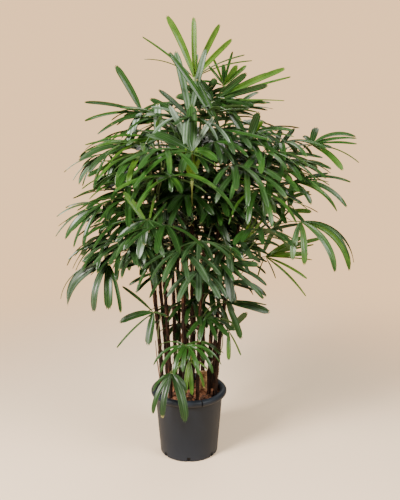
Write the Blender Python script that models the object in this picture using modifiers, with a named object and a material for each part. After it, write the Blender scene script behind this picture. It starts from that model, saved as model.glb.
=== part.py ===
# Potted lady palm: many slender fibre-covered canes with fan leaves, standing in a
# plain round nursery pot. Metres, +Z up, origin under the middle of the pot.
# +X is the side to the right of the plant's front, and the front looks along -Y.
from math import atan2, asin, cos, pi, radians, sin

import bmesh
import bpy
from mathutils import Vector

# ---------------------------------------------------------------- driving sizes
POT_HEIGHT = 0.280
RIM_OUTER_RADIUS = 0.1545
RIM_BEAD = 0.014
BASE_RADIUS = 0.117
SHEET = 0.0028
FLOOR = 0.0045
POT_STEPS = 36
SLOT_COUNT = 7
SLOT_WIDTH = 0.012
SLOT_HEIGHT = 0.014
NOTCH_ANGLE = -69.0
NOTCH_WIDTH = 0.0035
NOTCH_DEPTH = 0.030

GAP = 0.0003
SOIL_TOP = 0.232
MULCH_TOP = 0.250
ROOT_DEPTH = 0.050
CANE_SIDE_BEND = 0.70
CANE_TAPER = 0.72
BLOCK_SIZE = (0.040, 0.022, 0.085)
BLOCK_PLACE = (0.055, 0.030)
BLOCK_TURN = -6.0
STUB_PATH = ((-0.110, 0.030, 0.222), (-0.120, 0.031, 0.300), (-0.130, 0.030, 0.380), (-0.136, 0.028, 0.470))
STUB_RADIUS = 0.0026

LEAF_THICKNESS = 0.0016
PETIOLE_WIDTH = 0.0046
HUB_RADIUS = 0.011
LEAF_STATIONS = (0.25, 0.64, 1.0)
LEAF_WIDTHS = (0.80, 1.0, 0.42)
LEAF_WIDEST = 0.030
LEAF_FILL = 0.35  # of the space between two blades, kept low so that they part at the hub
OUTER_SHORTER = 0.10  # share by which the outermost blades are shorter
STEEPEST_BLADE = -86.0
PETIOLE_STATIONS = 4
PETIOLE_START = 0.8  # behind the hub, as a share of its radius
PETIOLE_LIFT = 0.45  # outward lean where it leaves the cane
PETIOLE_EASE = (0.30, 0.35)  # shares of the span that bend at the hub and at the foot
FOOT_CLEARANCE = 0.0001

# cane: foot x, y on the root ball, lean of the top x, y, height of the top, radius
CANES = {
    "cane_01": ((-0.104, -0.010), (-0.176, -0.030), 1.02, 0.0085),
    "cane_02": ((-0.086, 0.046), (-0.165, 0.120), 1.10, 0.0080),
    "cane_03": ((-0.072, -0.050), (-0.120, -0.110), 1.16, 0.0085),
    "cane_04": ((-0.052, 0.004), (-0.080, 0.010), 1.26, 0.0080),
    "cane_05": ((-0.036, 0.082), (-0.060, 0.190), 1.14, 0.0075),
    "cane_06": ((-0.018, -0.072), (-0.020, -0.140), 1.02, 0.0090),
    "cane_07": ((-0.008, 0.036), (-0.010, 0.060), 1.42, 0.0080),
    "cane_08": ((0.012, -0.024), (0.018, -0.050), 1.24, 0.0085),
    "cane_09": ((0.016, 0.094), (0.050, 0.200), 1.20, 0.0075),
    "cane_10": ((0.056, 0.080), (0.080, 0.100), 1.34, 0.0080),
    "cane_11": ((0.034, -0.084), (0.060, -0.160), 0.92, 0.0075),
    "cane_12": ((0.080, -0.012), (0.140, -0.030), 1.22, 0.0085),
    "cane_13": ((0.094, 0.042), (0.190, 0.090), 1.16, 0.0080),
    "cane_14": ((0.102, -0.040), (0.196, -0.060), 0.98, 0.0090),
}

# frond: cane, height of its foot, hub, heading, rise, roll, spread, blades, length, droop
# headings are turned from +X towards +Y, and all angles are degrees
FRONDS = {
    "frond_01": ("cane_07", 1.40, (0.023, 0.050, 1.520), 90, 80, 0, 140, 8, 0.235, 12),
    "frond_02": ("cane_10", 1.31, (0.139, 0.150, 1.482), 75, 50, 0, 120, 6, 0.200, 20),
    "frond_03": ("cane_08", 1.22, (0.094, -0.100, 1.448), -5, 28, 35, 70, 6, 0.250, 20),
    "frond_04": ("cane_12", 1.20, (0.118, -0.180, 1.356), 160, 60, 90, 50, 4, 0.265, 6),
    "frond_05": ("cane_07", 1.28, (0.009, -0.100, 1.383), 90, 80, 0, 60, 4, 0.235, 8),
    "frond_06": ("cane_08", 1.14, (0.017, -0.230, 1.282), -90, 42, 0, 160, 8, 0.230, 38),
    "frond_07": ("cane_03", 1.12, (-0.060, -0.300, 1.205), -95, 10, 0, 170, 6, 0.215, 60),
    "frond_08": ("cane_04", 1.25, (-0.169, -0.050, 1.400), 165, 40, 0, 150, 7, 0.230, 50),
    "frond_09": ("cane_02", 1.04, (-0.305, 0.020, 1.235), 190, -4, 10, 110, 6, 0.185, 70),
    "frond_10": ("cane_03", 1.14, (-0.160, -0.130, 1.255), 205, 12, 0, 100, 6, 0.215, 66),
    "frond_11": ("cane_01", 0.96, (-0.318, -0.110, 1.066), 195, 0, 0, 130, 6, 0.205, 62),
    "frond_12": ("cane_02", 0.92, (-0.340, 0.130, 0.990), 165, 5, 0, 110, 5, 0.190, 55),
    "frond_13": ("cane_01", 0.80, (-0.304, -0.100, 0.835), 190, -12, 0, 150, 6, 0.215, 68),
    "frond_14": ("cane_01", 0.88, (-0.300, -0.030, 0.925), 178, -2, 0, 120, 5, 0.200, 70),
    "frond_15": ("cane_06", 0.90, (-0.145, -0.250, 1.040), 235, -5, 0, 150, 6, 0.200, 60),
    "frond_16": ("cane_14", 0.94, (0.470, 0.000, 1.273), 5, 18, -20, 170, 7, 0.172, 40),
    "frond_17": ("cane_14", 0.88, (0.395, -0.020, 1.134), -5, 14, 0, 130, 6, 0.240, 58),
    "frond_18": ("cane_14", 0.80, (0.423, -0.110, 1.000), -15, -2, 0, 160, 6, 0.245, 70),
    "frond_19": ("cane_14", 0.68, (0.301, -0.010, 0.835), 0, 5, -25, 120, 6, 0.225, 22),
    "frond_20": ("cane_13", 1.12, (0.345, 0.170, 1.210), 35, 18, 0, 150, 6, 0.205, 40),
    "frond_21": ("cane_13", 0.92, (0.300, 0.180, 0.985), 35, 10, 0, 110, 5, 0.200, 20),
    "frond_22": ("cane_12", 1.02, (0.255, -0.170, 1.130), -60, 5, 0, 160, 6, 0.200, 62),
    "frond_23": ("cane_12", 1.12, (0.205, 0.020, 1.300), -10, 30, 0, 130, 6, 0.215, 46),
    "frond_24": ("cane_09", 1.16, (0.220, 0.240, 1.320), 65, 20, 0, 140, 6, 0.180, 50),
    "frond_25": ("cane_06", 0.82, (-0.020, -0.290, 0.935), -100, -6, 0, 150, 6, 0.180, 48),
    "frond_26": ("cane_11", 0.78, (0.040, -0.300, 0.865), -88, -6, 0, 110, 5, 0.170, 46),
    "frond_27": ("cane_11", 0.84, (0.135, -0.200, 0.850), -45, -10, 0, 130, 6, 0.175, 56),
    "frond_28": ("cane_11", 0.62, (0.144, -0.160, 0.700), -20, -2, 0, 130, 5, 0.200, 40),
    "frond_29": ("cane_01", 0.52, (-0.135, -0.100, 0.635), 195, -8, 0, 170, 5, 0.160, 26),
    "frond_30": ("cane_14", 0.46, (0.158, -0.060, 0.545), -20, -15, 0, 190, 5, 0.120, 30),
    "frond_31": ("cane_06", 0.47, (-0.008, -0.190, 0.532), -90, 8, 0, 180, 7, 0.160, 78),
    "frond_32": ("cane_03", 0.36, (-0.064, -0.150, 0.404), -100, 6, 0, 130, 5, 0.185, 88),
    "frond_33": ("cane_03", 0.86, (-0.130, -0.220, 0.880), -110, -14, 0, 110, 5, 0.175, 52),
    "frond_34": ("cane_05", 1.10, (-0.150, 0.330, 1.220), 110, 20, 0, 150, 6, 0.220, 50),
    "frond_35": ("cane_09", 1.02, (0.080, 0.380, 1.090), 80, 12, 0, 150, 6, 0.215, 55),
    "frond_36": ("cane_05", 0.90, (-0.130, 0.350, 0.940), 115, 0, 0, 150, 6, 0.210, 60),
    "frond_37": ("cane_09", 0.84, (0.190, 0.340, 0.880), 60, -5, 0, 140, 6, 0.205, 58),
    "frond_38": ("cane_02", 0.72, (-0.240, 0.220, 0.780), 140, -6, 0, 140, 6, 0.200, 58),
    "frond_39": ("cane_13", 0.66, (0.215, 0.210, 0.760), 60, 0, 0, 120, 5, 0.140, 50),
}


def rounded(low, high, amount):
    return low + (high - low) * amount


# ---------------------------------------------------------------- scene and materials
def clear_scene():
    for old in list(bpy.data.objects):
        bpy.data.objects.remove(old)


def new_collection(name):
    group = bpy.data.collections.new(name)
    bpy.context.scene.collection.children.link(group)
    return group


def plain_material(name, colour, roughness):
    material = bpy.data.materials.new(name)
    material.use_nodes = True
    shader = material.node_tree.nodes["Principled BSDF"]
    shader.inputs["Base Color"].default_value = (*colour, 1.0)
    shader.inputs["Roughness"].default_value = roughness
    material.diffuse_color = (*colour, 1.0)
    return material


def add_object(name, mesh, group, material):
    item = bpy.data.objects.new(name, mesh)
    group.objects.link(item)
    if material:
        mesh.materials.append(material)
    return item


def as_cutter(item):
    item.hide_render = True
    item.display_type = "WIRE"
    return item


def cut(target, cutter, operation="DIFFERENCE"):
    step = target.modifiers.new(cutter.name, "BOOLEAN")
    step.operation = operation
    step.solver = "EXACT"
    step.object = cutter


def cut_group(target, cutters):
    step = target.modifiers.new("sockets", "BOOLEAN")
    step.operation = "DIFFERENCE"
    step.solver = "EXACT"
    step.operand_type = "COLLECTION"
    step.collection = cutters


# ---------------------------------------------------------------- pot, root ball, mulch
def arc_points(centre, radius, start, end, count):
    points = []
    for step in range(count + 1):
        angle = radians(rounded(start, end, step / count))
        points.append((centre[0] + radius * cos(angle), centre[1] + radius * sin(angle)))
    return points


def inner_radius(height):
    bottom = BASE_RADIUS - SHEET
    top = RIM_OUTER_RADIUS - RIM_BEAD - 0.0035 - SHEET
    return rounded(bottom, top, (height - FLOOR) / (POT_HEIGHT - 2 * RIM_BEAD - FLOOR))


def pot_profile():
    bead = (RIM_OUTER_RADIUS - RIM_BEAD, POT_HEIGHT - RIM_BEAD)
    shoulder = bead[1] - RIM_BEAD
    points = [(0.0, FLOOR), (inner_radius(FLOOR) - 0.003, FLOOR), (inner_radius(0.010), 0.010)]
    points.append((inner_radius(shoulder), shoulder))
    points += arc_points(bead, RIM_BEAD, 230, -50, 9)
    points += arc_points(bead, RIM_BEAD - SHEET, -50, 220, 7)
    points.append((inner_radius(shoulder) + SHEET, shoulder - 0.001))
    points.append((BASE_RADIUS + 0.001, 0.007))
    points.append((BASE_RADIUS - 0.002, 0.0015))
    points.append((BASE_RADIUS - 0.007, 0.0))
    points.append((0.0, 0.0))
    return points


def turned_solid(name, profile, group, material):
    shape = bmesh.new()
    corners = [shape.verts.new((x, 0.0, z)) for x, z in profile]
    for first, second in zip(corners, corners[1:]):
        shape.edges.new((first, second))
    mesh = bpy.data.meshes.new(name)
    shape.to_mesh(mesh)
    shape.free()
    item = add_object(name, mesh, group, material)
    turn = item.modifiers.new("turn", "SCREW")
    turn.steps = POT_STEPS
    turn.render_steps = POT_STEPS
    turn.use_merge_vertices = True
    turn.merge_threshold = 0.00005
    turn.use_smooth_shade = True
    return item


def box_object(name, size, centre, turned, group, material=None):
    shape = bmesh.new()
    bmesh.ops.create_cube(shape, size=1.0)
    bmesh.ops.scale(shape, vec=size, verts=shape.verts)
    mesh = bpy.data.meshes.new(name)
    shape.to_mesh(mesh)
    shape.free()
    item = add_object(name, mesh, group, material)
    item.location = centre
    item.rotation_euler = (0.0, 0.0, radians(turned))
    return item


def around(angle, radius, height):
    return (radius * cos(radians(angle)), radius * sin(radians(angle)), height)


def build_pot(parts, cutters, material):
    pot = turned_solid("pot", pot_profile(), parts, material)
    for index in range(SLOT_COUNT):
        angle = -90.0 + index * 360.0 / SLOT_COUNT
        slot = box_object("slot_cutter", (0.030, SLOT_WIDTH, 2 * SLOT_HEIGHT),
                          around(angle, BASE_RADIUS, 0.0), angle, cutters)
        cut(pot, as_cutter(slot))
    notch_middle = POT_HEIGHT - NOTCH_DEPTH / 2 + 0.002
    notch = box_object("notch_cutter", (0.050, NOTCH_WIDTH, NOTCH_DEPTH + 0.004),
                       around(NOTCH_ANGLE, RIM_OUTER_RADIUS - RIM_BEAD, notch_middle), NOTCH_ANGLE, cutters)
    cut(pot, as_cutter(notch))


def filling_profile(bottom, top, crown):
    points = [(0.0, top + crown), (0.6 * inner_radius(top), top + 0.7 * crown)]
    points.append((inner_radius(top) - GAP - 0.0002, top))
    points.append((inner_radius(bottom) - GAP - 0.0002, bottom))
    points.append((0.0, bottom))
    return points


def build_filling(parts, sockets, soil_material, mulch_material):
    soil = turned_solid("root_ball", filling_profile(0.0105, SOIL_TOP, 0.0), parts, soil_material)
    mulch_outline = filling_profile(SOIL_TOP + GAP, MULCH_TOP, 0.004)
    mulch = turned_solid("coir_mulch", mulch_outline, parts, mulch_material)
    cut_group(soil, sockets)
    cut_group(mulch, sockets)


# ---------------------------------------------------------------- canes
def cane_point(cane, height):
    foot, top, top_height, radius = CANES[cane]
    foot_height = SOIL_TOP - ROOT_DEPTH
    rise = (height - foot_height) / (top_height - foot_height)
    bend = rounded(rise, rise * rise, CANE_SIDE_BEND)
    return Vector((rounded(foot[0], top[0], bend), rounded(foot[1], top[1], bend), height))


def rod(name, points, radii, group, material):
    curve = bpy.data.curves.new(name, "CURVE")
    curve.dimensions = "3D"
    curve.bevel_depth = 1.0
    curve.bevel_resolution = 3
    curve.use_fill_caps = True
    spline = curve.splines.new("POLY")
    spline.points.add(len(points) - 1)
    for knot, place, radius in zip(spline.points, points, radii):
        knot.co = (*place, 1.0)
        knot.radius = radius
    guide = bpy.data.objects.new(name + "_guide", curve)
    group.objects.link(guide)
    bpy.context.view_layer.update()
    ready = guide.evaluated_get(bpy.context.evaluated_depsgraph_get())
    mesh = bpy.data.meshes.new_from_object(ready)
    place = guide.matrix_world.copy()
    bpy.data.objects.remove(guide)
    shape = bmesh.new()
    shape.from_mesh(mesh)
    bmesh.ops.remove_doubles(shape, verts=shape.verts, dist=0.00001)
    bmesh.ops.recalc_face_normals(shape, faces=shape.faces)
    shape.to_mesh(mesh)
    shape.free()
    mesh.materials.clear()
    mesh.shade_smooth()
    item = add_object(name, mesh, group, material)
    item.matrix_world = place
    return item


def cane_path(cane, spare):
    foot_height = SOIL_TOP - ROOT_DEPTH
    top_height = CANES[cane][2]
    heights = [foot_height - spare]
    heights += [rounded(foot_height, top_height, step / 6) for step in range(1, 7)]
    return [cane_point(cane, height) for height in heights]


def build_canes(parts, sockets, material):
    for cane, (foot, top, top_height, radius) in CANES.items():
        path = cane_path(cane, 0.0)
        taper = [radius * rounded(1.0, CANE_TAPER, step / 6) for step in range(7)]
        rod(cane, path, taper, parts, material)
        clearance = [size + GAP + 0.0001 for size in taper]
        as_cutter(rod(cane + "_socket", cane_path(cane, GAP), clearance, sockets, None))


def build_block(parts, sockets, material):
    middle = (*BLOCK_PLACE, SOIL_TOP + GAP + BLOCK_SIZE[2] / 2)
    block = box_object("bark_block", BLOCK_SIZE, middle, BLOCK_TURN, parts, material)
    edge = block.modifiers.new("worn_edges", "BEVEL")
    edge.width = 0.0025
    edge.segments = 1
    room = [length + 2 * GAP for length in BLOCK_SIZE]
    as_cutter(box_object("block_socket", room, middle, BLOCK_TURN, sockets))


def build_stub(parts, sockets, material):
    taper = [STUB_RADIUS * size for size in (1.0, 0.9, 0.8, 0.6)]
    rod("dead_petiole", STUB_PATH, taper, parts, material)
    foot = (Vector(STUB_PATH[0]) - Vector((0.0, 0.0, GAP)),) + STUB_PATH[1:]
    as_cutter(rod("stub_socket", foot, [size + GAP + 0.0001 for size in taper], sockets, None))


# ---------------------------------------------------------------- fronds
def turned_frame(heading, rise, roll):
    heading = radians(heading)
    rise = radians(rise)
    roll = radians(roll)
    forward = Vector((cos(heading) * cos(rise), sin(heading) * cos(rise), sin(rise)))
    level = Vector((-sin(heading), cos(heading), 0.0))
    upright = forward.cross(level)
    side = level * cos(roll) + upright * sin(roll)
    return forward, side


def blade_path(start, direction, across, length, droop):
    bearing = atan2(direction.y, direction.x)
    first_rise = asin(max(-1.0, min(1.0, direction.z)))
    place = start.copy()
    sections = []
    before = 0.0
    for station in LEAF_STATIONS:
        rise = max(first_rise - radians(droop) * (before + station) / 2, radians(STEEPEST_BLADE))
        tangent = Vector((cos(bearing) * cos(rise), sin(bearing) * cos(rise), sin(rise)))
        place = place + tangent * length * (station - before)
        wide = (across - tangent * across.dot(tangent)).normalized()
        sections.append((place.copy(), wide, tangent.cross(wide)))
        before = station
    return sections


def grow(shape, face, old, new, half_width, half_thickness):
    ready = bmesh.ops.extrude_discrete_faces(shape, faces=[face])
    face = ready["faces"][0]
    for corner in face.verts:
        offset = corner.co - old[0]
        wide = half_width if offset.dot(old[1]) > 0 else -half_width
        thick = half_thickness if offset.dot(old[2]) > 0 else -half_thickness
        corner.co = new[0] + new[1] * wide + new[2] * thick
    return face


def curve_at(knots, amount):
    first, second, third, fourth = knots
    left = 1.0 - amount
    place = first * left ** 3 + second * 3 * left ** 2 * amount
    place = place + third * 3 * left * amount ** 2 + fourth * amount ** 3
    slope = (second - first) * left ** 2 + (third - second) * 2 * left * amount
    slope = slope + (fourth - third) * amount ** 2
    return place, slope.normalized()


def petiole_knots(cane, foot_height, hub, forward):
    axis = cane_point(cane, foot_height)
    along = (cane_point(cane, foot_height + 0.01) - axis).normalized()
    reach = hub - axis
    outward = (reach - along * reach.dot(along)).normalized()
    rise = (foot_height - SOIL_TOP + ROOT_DEPTH) / (CANES[cane][2] - SOIL_TOP + ROOT_DEPTH)
    radius = CANES[cane][3] * rounded(1.0, CANE_TAPER, rise)
    foot = axis + outward * (radius + GAP + FOOT_CLEARANCE + PETIOLE_WIDTH / 2)
    span = (hub - foot).length
    lift = (along + outward * PETIOLE_LIFT).normalized()
    back = hub - forward * HUB_RADIUS * PETIOLE_START
    near_hub, near_foot = PETIOLE_EASE
    return (back, back - forward * span * near_hub, foot + lift * span * near_foot, foot), outward


def face_the_cane(wide, slope, outward):
    level = slope.cross(outward).normalized()
    other = slope.cross(level)
    return max((level, -level, other, -other), key=wide.dot)


def frond_mesh(name):
    cane, foot_height, hub, heading, rise, roll, spread, blades, length, droop = FRONDS[name]
    hub = Vector(hub)
    forward, side = turned_frame(heading, rise, roll)
    upper = forward.cross(side)
    step = radians(spread) / (blades - 1)
    half = LEAF_THICKNESS / 2
    shape = bmesh.new()
    corners = []
    for index in range(blades + 1):
        angle = -radians(spread) / 2 + (index - 0.5) * step
        corners.append(hub + (forward * cos(angle) + side * sin(angle)) * HUB_RADIUS)
    for sign in (1, -1):
        corners.append(hub - forward * HUB_RADIUS * PETIOLE_START + side * sign * PETIOLE_WIDTH / 2)
    floor = [shape.verts.new(corner - upper * half) for corner in corners]
    base = shape.faces.new(floor)
    lifted = bmesh.ops.extrude_face_region(shape, geom=[base])
    raised = [part for part in lifted["geom"] if isinstance(part, bmesh.types.BMVert)]
    bmesh.ops.translate(shape, vec=upper * LEAF_THICKNESS, verts=raised)
    walls = [face for face in shape.faces if abs(face.normal.dot(upper)) < 0.5 or len(face.verts) == 4]
    for index in range(blades):
        angle = -radians(spread) / 2 + index * step
        direction = forward * cos(angle) + side * sin(angle)
        across = side * cos(angle) - forward * sin(angle)
        middle = hub + direction * HUB_RADIUS * cos(step / 2)
        face = min(walls, key=lambda wall: (wall.calc_center_median() - middle).length)
        walls.remove(face)
        old = (middle, across, direction.cross(across))
        share = 1.0 - OUTER_SHORTER * abs(2 * index / (blades - 1) - 1.0)
        widest = min(LEAF_WIDEST, LEAF_FILL * length * share * step)
        path = blade_path(middle, direction, across, length * share, droop)
        for new, width in zip(path, LEAF_WIDTHS):
            face = grow(shape, face, old, new, width * widest / 2, half)
            old = new
    knots, outward = petiole_knots(cane, foot_height, hub, forward)
    face = min(walls, key=lambda wall: (wall.calc_center_median() - knots[0]).length)
    walls.remove(face)
    old = (knots[0], side, upper)
    for number in range(1, PETIOLE_STATIONS + 1):
        place, slope = curve_at(knots, number / PETIOLE_STATIONS)
        wide = (old[1] - slope * old[1].dot(slope)).normalized()
        if number == PETIOLE_STATIONS:
            wide = face_the_cane(wide, slope, outward)
        thick = slope.cross(wide)
        new = (place, wide, thick if thick.dot(old[2]) > 0 else -thick)
        face = grow(shape, face, old, new, PETIOLE_WIDTH / 2, PETIOLE_WIDTH / 2)
        old = new
    bmesh.ops.recalc_face_normals(shape, faces=shape.faces)
    mesh = bpy.data.meshes.new(name)
    shape.to_mesh(mesh)
    shape.free()
    return mesh


def build_fronds(parts, material):
    for name in FRONDS:
        add_object(name, frond_mesh(name), parts, material)


def main():
    clear_scene()
    parts = new_collection("potted_lady_palm")
    cutters = new_collection("cutters")
    sockets = new_collection("sockets")
    pot_grey = plain_material("pot_plastic", (0.035, 0.035, 0.037), 0.5)
    soil_brown = plain_material("soil", (0.060, 0.035, 0.022), 0.95)
    coir_brown = plain_material("coir", (0.200, 0.075, 0.035), 0.95)
    cane_brown = plain_material("cane_fibre", (0.050, 0.026, 0.016), 0.85)
    bark_tan = plain_material("bark", (0.350, 0.150, 0.080), 0.9)
    leaf_green = plain_material("leaf", (0.060, 0.160, 0.040), 0.4)
    build_pot(parts, cutters, pot_grey)
    build_canes(parts, sockets, cane_brown)
    build_block(parts, sockets, bark_tan)
    build_stub(parts, sockets, cane_brown)
    build_filling(parts, sockets, soil_brown, coir_brown)
    build_fronds(parts, leaf_green)


main()
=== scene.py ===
from math import asin, atan2, cos, pi, radians, sin
from random import Random

import bmesh
import bpy
from mathutils import Matrix, Vector, noise


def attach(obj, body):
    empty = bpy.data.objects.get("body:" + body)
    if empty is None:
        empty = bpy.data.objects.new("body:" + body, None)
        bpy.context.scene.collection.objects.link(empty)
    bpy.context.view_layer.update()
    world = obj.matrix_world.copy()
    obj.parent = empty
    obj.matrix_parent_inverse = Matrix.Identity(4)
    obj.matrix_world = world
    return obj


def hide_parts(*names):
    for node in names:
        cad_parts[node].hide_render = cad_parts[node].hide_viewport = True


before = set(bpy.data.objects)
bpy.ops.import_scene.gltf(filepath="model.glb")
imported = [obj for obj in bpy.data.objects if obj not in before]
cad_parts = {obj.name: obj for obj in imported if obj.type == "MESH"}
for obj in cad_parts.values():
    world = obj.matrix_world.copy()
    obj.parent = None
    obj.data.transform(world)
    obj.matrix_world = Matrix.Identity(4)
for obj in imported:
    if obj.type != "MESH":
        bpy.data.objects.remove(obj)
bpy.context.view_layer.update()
print("frame loaded")


# small helpers
def between(low, high, amount):
    return low + (high - low) * amount


def limited(value):
    return max(0.0, min(1.0, value))


def fromKnots(knots, place):
    # value at place on a line through (place, value) knots
    for (lowPlace, lowValue), (highPlace, highValue) in zip(knots, knots[1:]):
        if place <= highPlace:
            return between(lowValue, highValue, (place - lowPlace) / (highPlace - lowPlace))
    return knots[-1][1]


def aimed(heading, rise):
    # a unit vector, from angles in radians
    return Vector((cos(heading) * cos(rise), sin(heading) * cos(rise), sin(rise)))


def outwards(angle):
    return Vector((cos(angle), sin(angle), 0.0))


def sideways(angle):
    return Vector((-sin(angle), cos(angle), 0.0))


def meshFrom(name, bm):
    mesh = bpy.data.meshes.new(name)
    bm.to_mesh(mesh)
    bm.free()
    return mesh


def newObject(name, data):
    made = bpy.data.objects.new(name, data)
    bpy.context.scene.collection.objects.link(made)
    return made


def keepPiece(name, bm, materials, stands=(), smoothAngle=40):
    mesh = meshFrom(name, bm)
    mesh.shade_smooth()
    mesh.set_sharp_from_angle(angle=radians(smoothAngle))
    piece = newObject(name, mesh)
    for material in materials:
        mesh.materials.append(material)
    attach(piece, "root")
    if stands:
        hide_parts(*stands)
    return piece


def applyModifiers(piece):
    ready = piece.evaluated_get(bpy.context.evaluated_depsgraph_get())
    mesh = bpy.data.meshes.new_from_object(ready)
    piece.modifiers.clear()
    piece.data = mesh


# node helpers
def newMaterial(name):
    material = bpy.data.materials.new(name)
    material.use_nodes = True
    tree = material.node_tree
    return material, tree, tree.nodes["Principled BSDF"]


def feed(tree, socket, value):
    if isinstance(value, bpy.types.NodeSocket):
        tree.links.new(value, socket)
    else:
        socket.default_value = value


def setInputs(tree, node, inputs):
    for key, value in inputs.items():
        feed(tree, node.inputs[key], value)


def addNode(tree, kind, inputs=None, **settings):
    node = tree.nodes.new(kind)
    for key, value in settings.items():
        setattr(node, key, value)
    setInputs(tree, node, inputs or {})
    return node


def mathNode(tree, operation, first, second=0.5, clamp=False):
    node = addNode(tree, "ShaderNodeMath", operation=operation, use_clamp=clamp)
    feed(tree, node.inputs[0], first)
    feed(tree, node.inputs[1], second)
    return node.outputs["Value"]


def plus(tree, first, second, clamp=False):
    return mathNode(tree, "ADD", first, second, clamp)


def minus(tree, first, second, clamp=False):
    return mathNode(tree, "SUBTRACT", first, second, clamp)


def times(tree, first, second, clamp=False):
    return mathNode(tree, "MULTIPLY", first, second, clamp)


def sharesOf(tree, first, firstShare, second, secondShare, clamp=False):
    return plus(tree, times(tree, first, firstShare), times(tree, second, secondShare), clamp)


def varied(tree, value, mask, strength):
    # the value, moved up and down by a mask whose middle is one half
    return plus(tree, value, times(tree, minus(tree, mask, 0.5), strength), True)


def rampNode(tree, source, stops):
    node = addNode(tree, "ShaderNodeValToRGB", {"Fac": source})
    ramp = node.color_ramp
    while len(ramp.elements) < len(stops):
        ramp.elements.new(0.5)
    for element, (place, colour) in zip(ramp.elements, stops):
        element.position = place
        element.color = (*colour, 1.0)
    return node.outputs["Color"]


def mixColour(tree, amount, first, second):
    node = addNode(tree, "ShaderNodeMix", data_type="RGBA")
    for key, value in (("Factor", amount), ("A", first), ("B", second)):
        wanted = [s for s in node.inputs if s.enabled and s.name == key]
        wanted = [s for s in wanted if key == "Factor" or s.type == "RGBA"]
        feed(tree, wanted[0], (*value, 1.0) if isinstance(value, tuple) else value)
    return next(s for s in node.outputs if s.type == "RGBA" and s.enabled)


def noiseNode(tree, vector, scale, detail=3.0, roughness=0.5, stretch=None):
    if stretch:
        vector = addNode(tree, "ShaderNodeMapping", {"Vector": vector, "Scale": stretch}).outputs["Vector"]
    inputs = {"Vector": vector, "Scale": scale, "Detail": detail, "Roughness": roughness}
    return addNode(tree, "ShaderNodeTexNoise", inputs).outputs["Fac"]


def rangeNode(tree, value, low, high):
    node = addNode(tree, "ShaderNodeMapRange", {"Value": value, "To Min": low, "To Max": high})
    return node.outputs["Result"]


def bumpNode(tree, height, strength, distance):
    inputs = {"Height": height, "Strength": strength, "Distance": distance}
    return addNode(tree, "ShaderNodeBump", inputs).outputs["Normal"]


def objectPlace(tree):
    return addNode(tree, "ShaderNodeTexCoord").outputs["Object"]


def bladePlace(tree):
    # a blade's own map: X across, Y along
    place = addNode(tree, "ShaderNodeUVMap", uv_map="bladeMap").outputs["UV"]
    return place, addNode(tree, "ShaderNodeSeparateXYZ", {"Vector": place})


def toneParts(tree):
    # what each blade carries: red is youth, which also holds painted shade (fronds deep in the crown
    # darker), green is chance, blue is bloom, which also holds painted sheen
    tone = addNode(tree, "ShaderNodeAttribute", attribute_name="tone")
    return addNode(tree, "ShaderNodeSeparateColor", {"Color": tone.outputs["Color"]})


# shared effects as node groups
def newGroup(name, inputs, outputs):
    group = bpy.data.node_groups.new(name, "ShaderNodeTree")
    for label, kind in inputs:
        group.interface.new_socket(label, in_out="INPUT", socket_type=kind)
    for label in outputs:
        group.interface.new_socket(label, in_out="OUTPUT", socket_type="NodeSocketFloat")
    return group, addNode(group, "NodeGroupInput").outputs, addNode(group, "NodeGroupOutput")


def mottleGroup():
    # soft two-scale blotches, used by every grown surface
    sockets = (("Vector", "NodeSocketVector"), ("Scale", "NodeSocketFloat"))
    group, given, leave = newGroup("mottle", sockets, ("Mask",))
    coarse = noiseNode(group, given["Vector"], given["Scale"], 2.0)
    fine = noiseNode(group, given["Vector"], times(group, given["Scale"], 5.0))
    setInputs(group, leave, {"Mask": sharesOf(group, coarse, 0.65, fine, 0.35)})
    return group


def ribGroup():
    # lengthwise ribs and fine veins of a blade
    group, given, leave = newGroup("ribs", (("Ribs", "NodeSocketFloat"),), ("Rib Mask", "Vein Mask"))
    place, split = bladePlace(group)
    turns = times(group, times(group, split.outputs["X"], given["Ribs"]), pi)
    wave = mathNode(group, "ABSOLUTE", mathNode(group, "SINE", turns))
    lines = mathNode(group, "POWER", minus(group, 1.0, wave, True), 6.0)
    veins = noiseNode(group, place, 1.0, 2.0, stretch=(34.0, 1.2, 1.0))
    setInputs(group, leave, {"Rib Mask": lines, "Vein Mask": veins})
    return group


mottle = mottleGroup()
ribs = ribGroup()


def mottled(tree, place, scale):
    inputs = {"Vector": place, "Scale": scale}
    return addNode(tree, "ShaderNodeGroup", inputs, node_tree=mottle).outputs["Mask"]


# leaf, petiole, fibre, coir and pot finishes
leafLook = {
    "shade": (0.002, 0.011, 0.002),
    "mid": (0.011, 0.050, 0.003),
    "young": (0.100, 0.190, 0.012),
    "rib": (0.150, 0.280, 0.070),
    # a pale blue-grey, partly a waxy bloom and partly painted sheen that stands for gloss reflections
    "bloomAndSheen": (0.400, 0.480, 0.420),
    "tip": (0.300, 0.260, 0.090),
    "under": (0.075, 0.150, 0.050),
    "ribs": 4.0,
    "blotches": (14.0, 0.7),  # scale, and how far they move the youth
    "underShare": 0.45,
    "veinShare": 0.34,
    "ribShare": 0.38,
    "bloomAndSheenPower": 3.0,
    # painted highlight: the pale colour is laid in stripes across the blade, as gloss streaks on the pleats
    "sheenStripes": (1.2, 0.1),  # strength between two ribs, and the least on a rib
    "dryTip": {"chance": 0.72, "start": 1.03, "depth": 0.14, "ragged": 0.06, "edge": 40.0},
    "upperRoughness": (0.28, 0.46),
    "underRoughness": (0.48, 0.62),
    "waxy": 0.22,
    "specular": 0.33,
}


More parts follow.
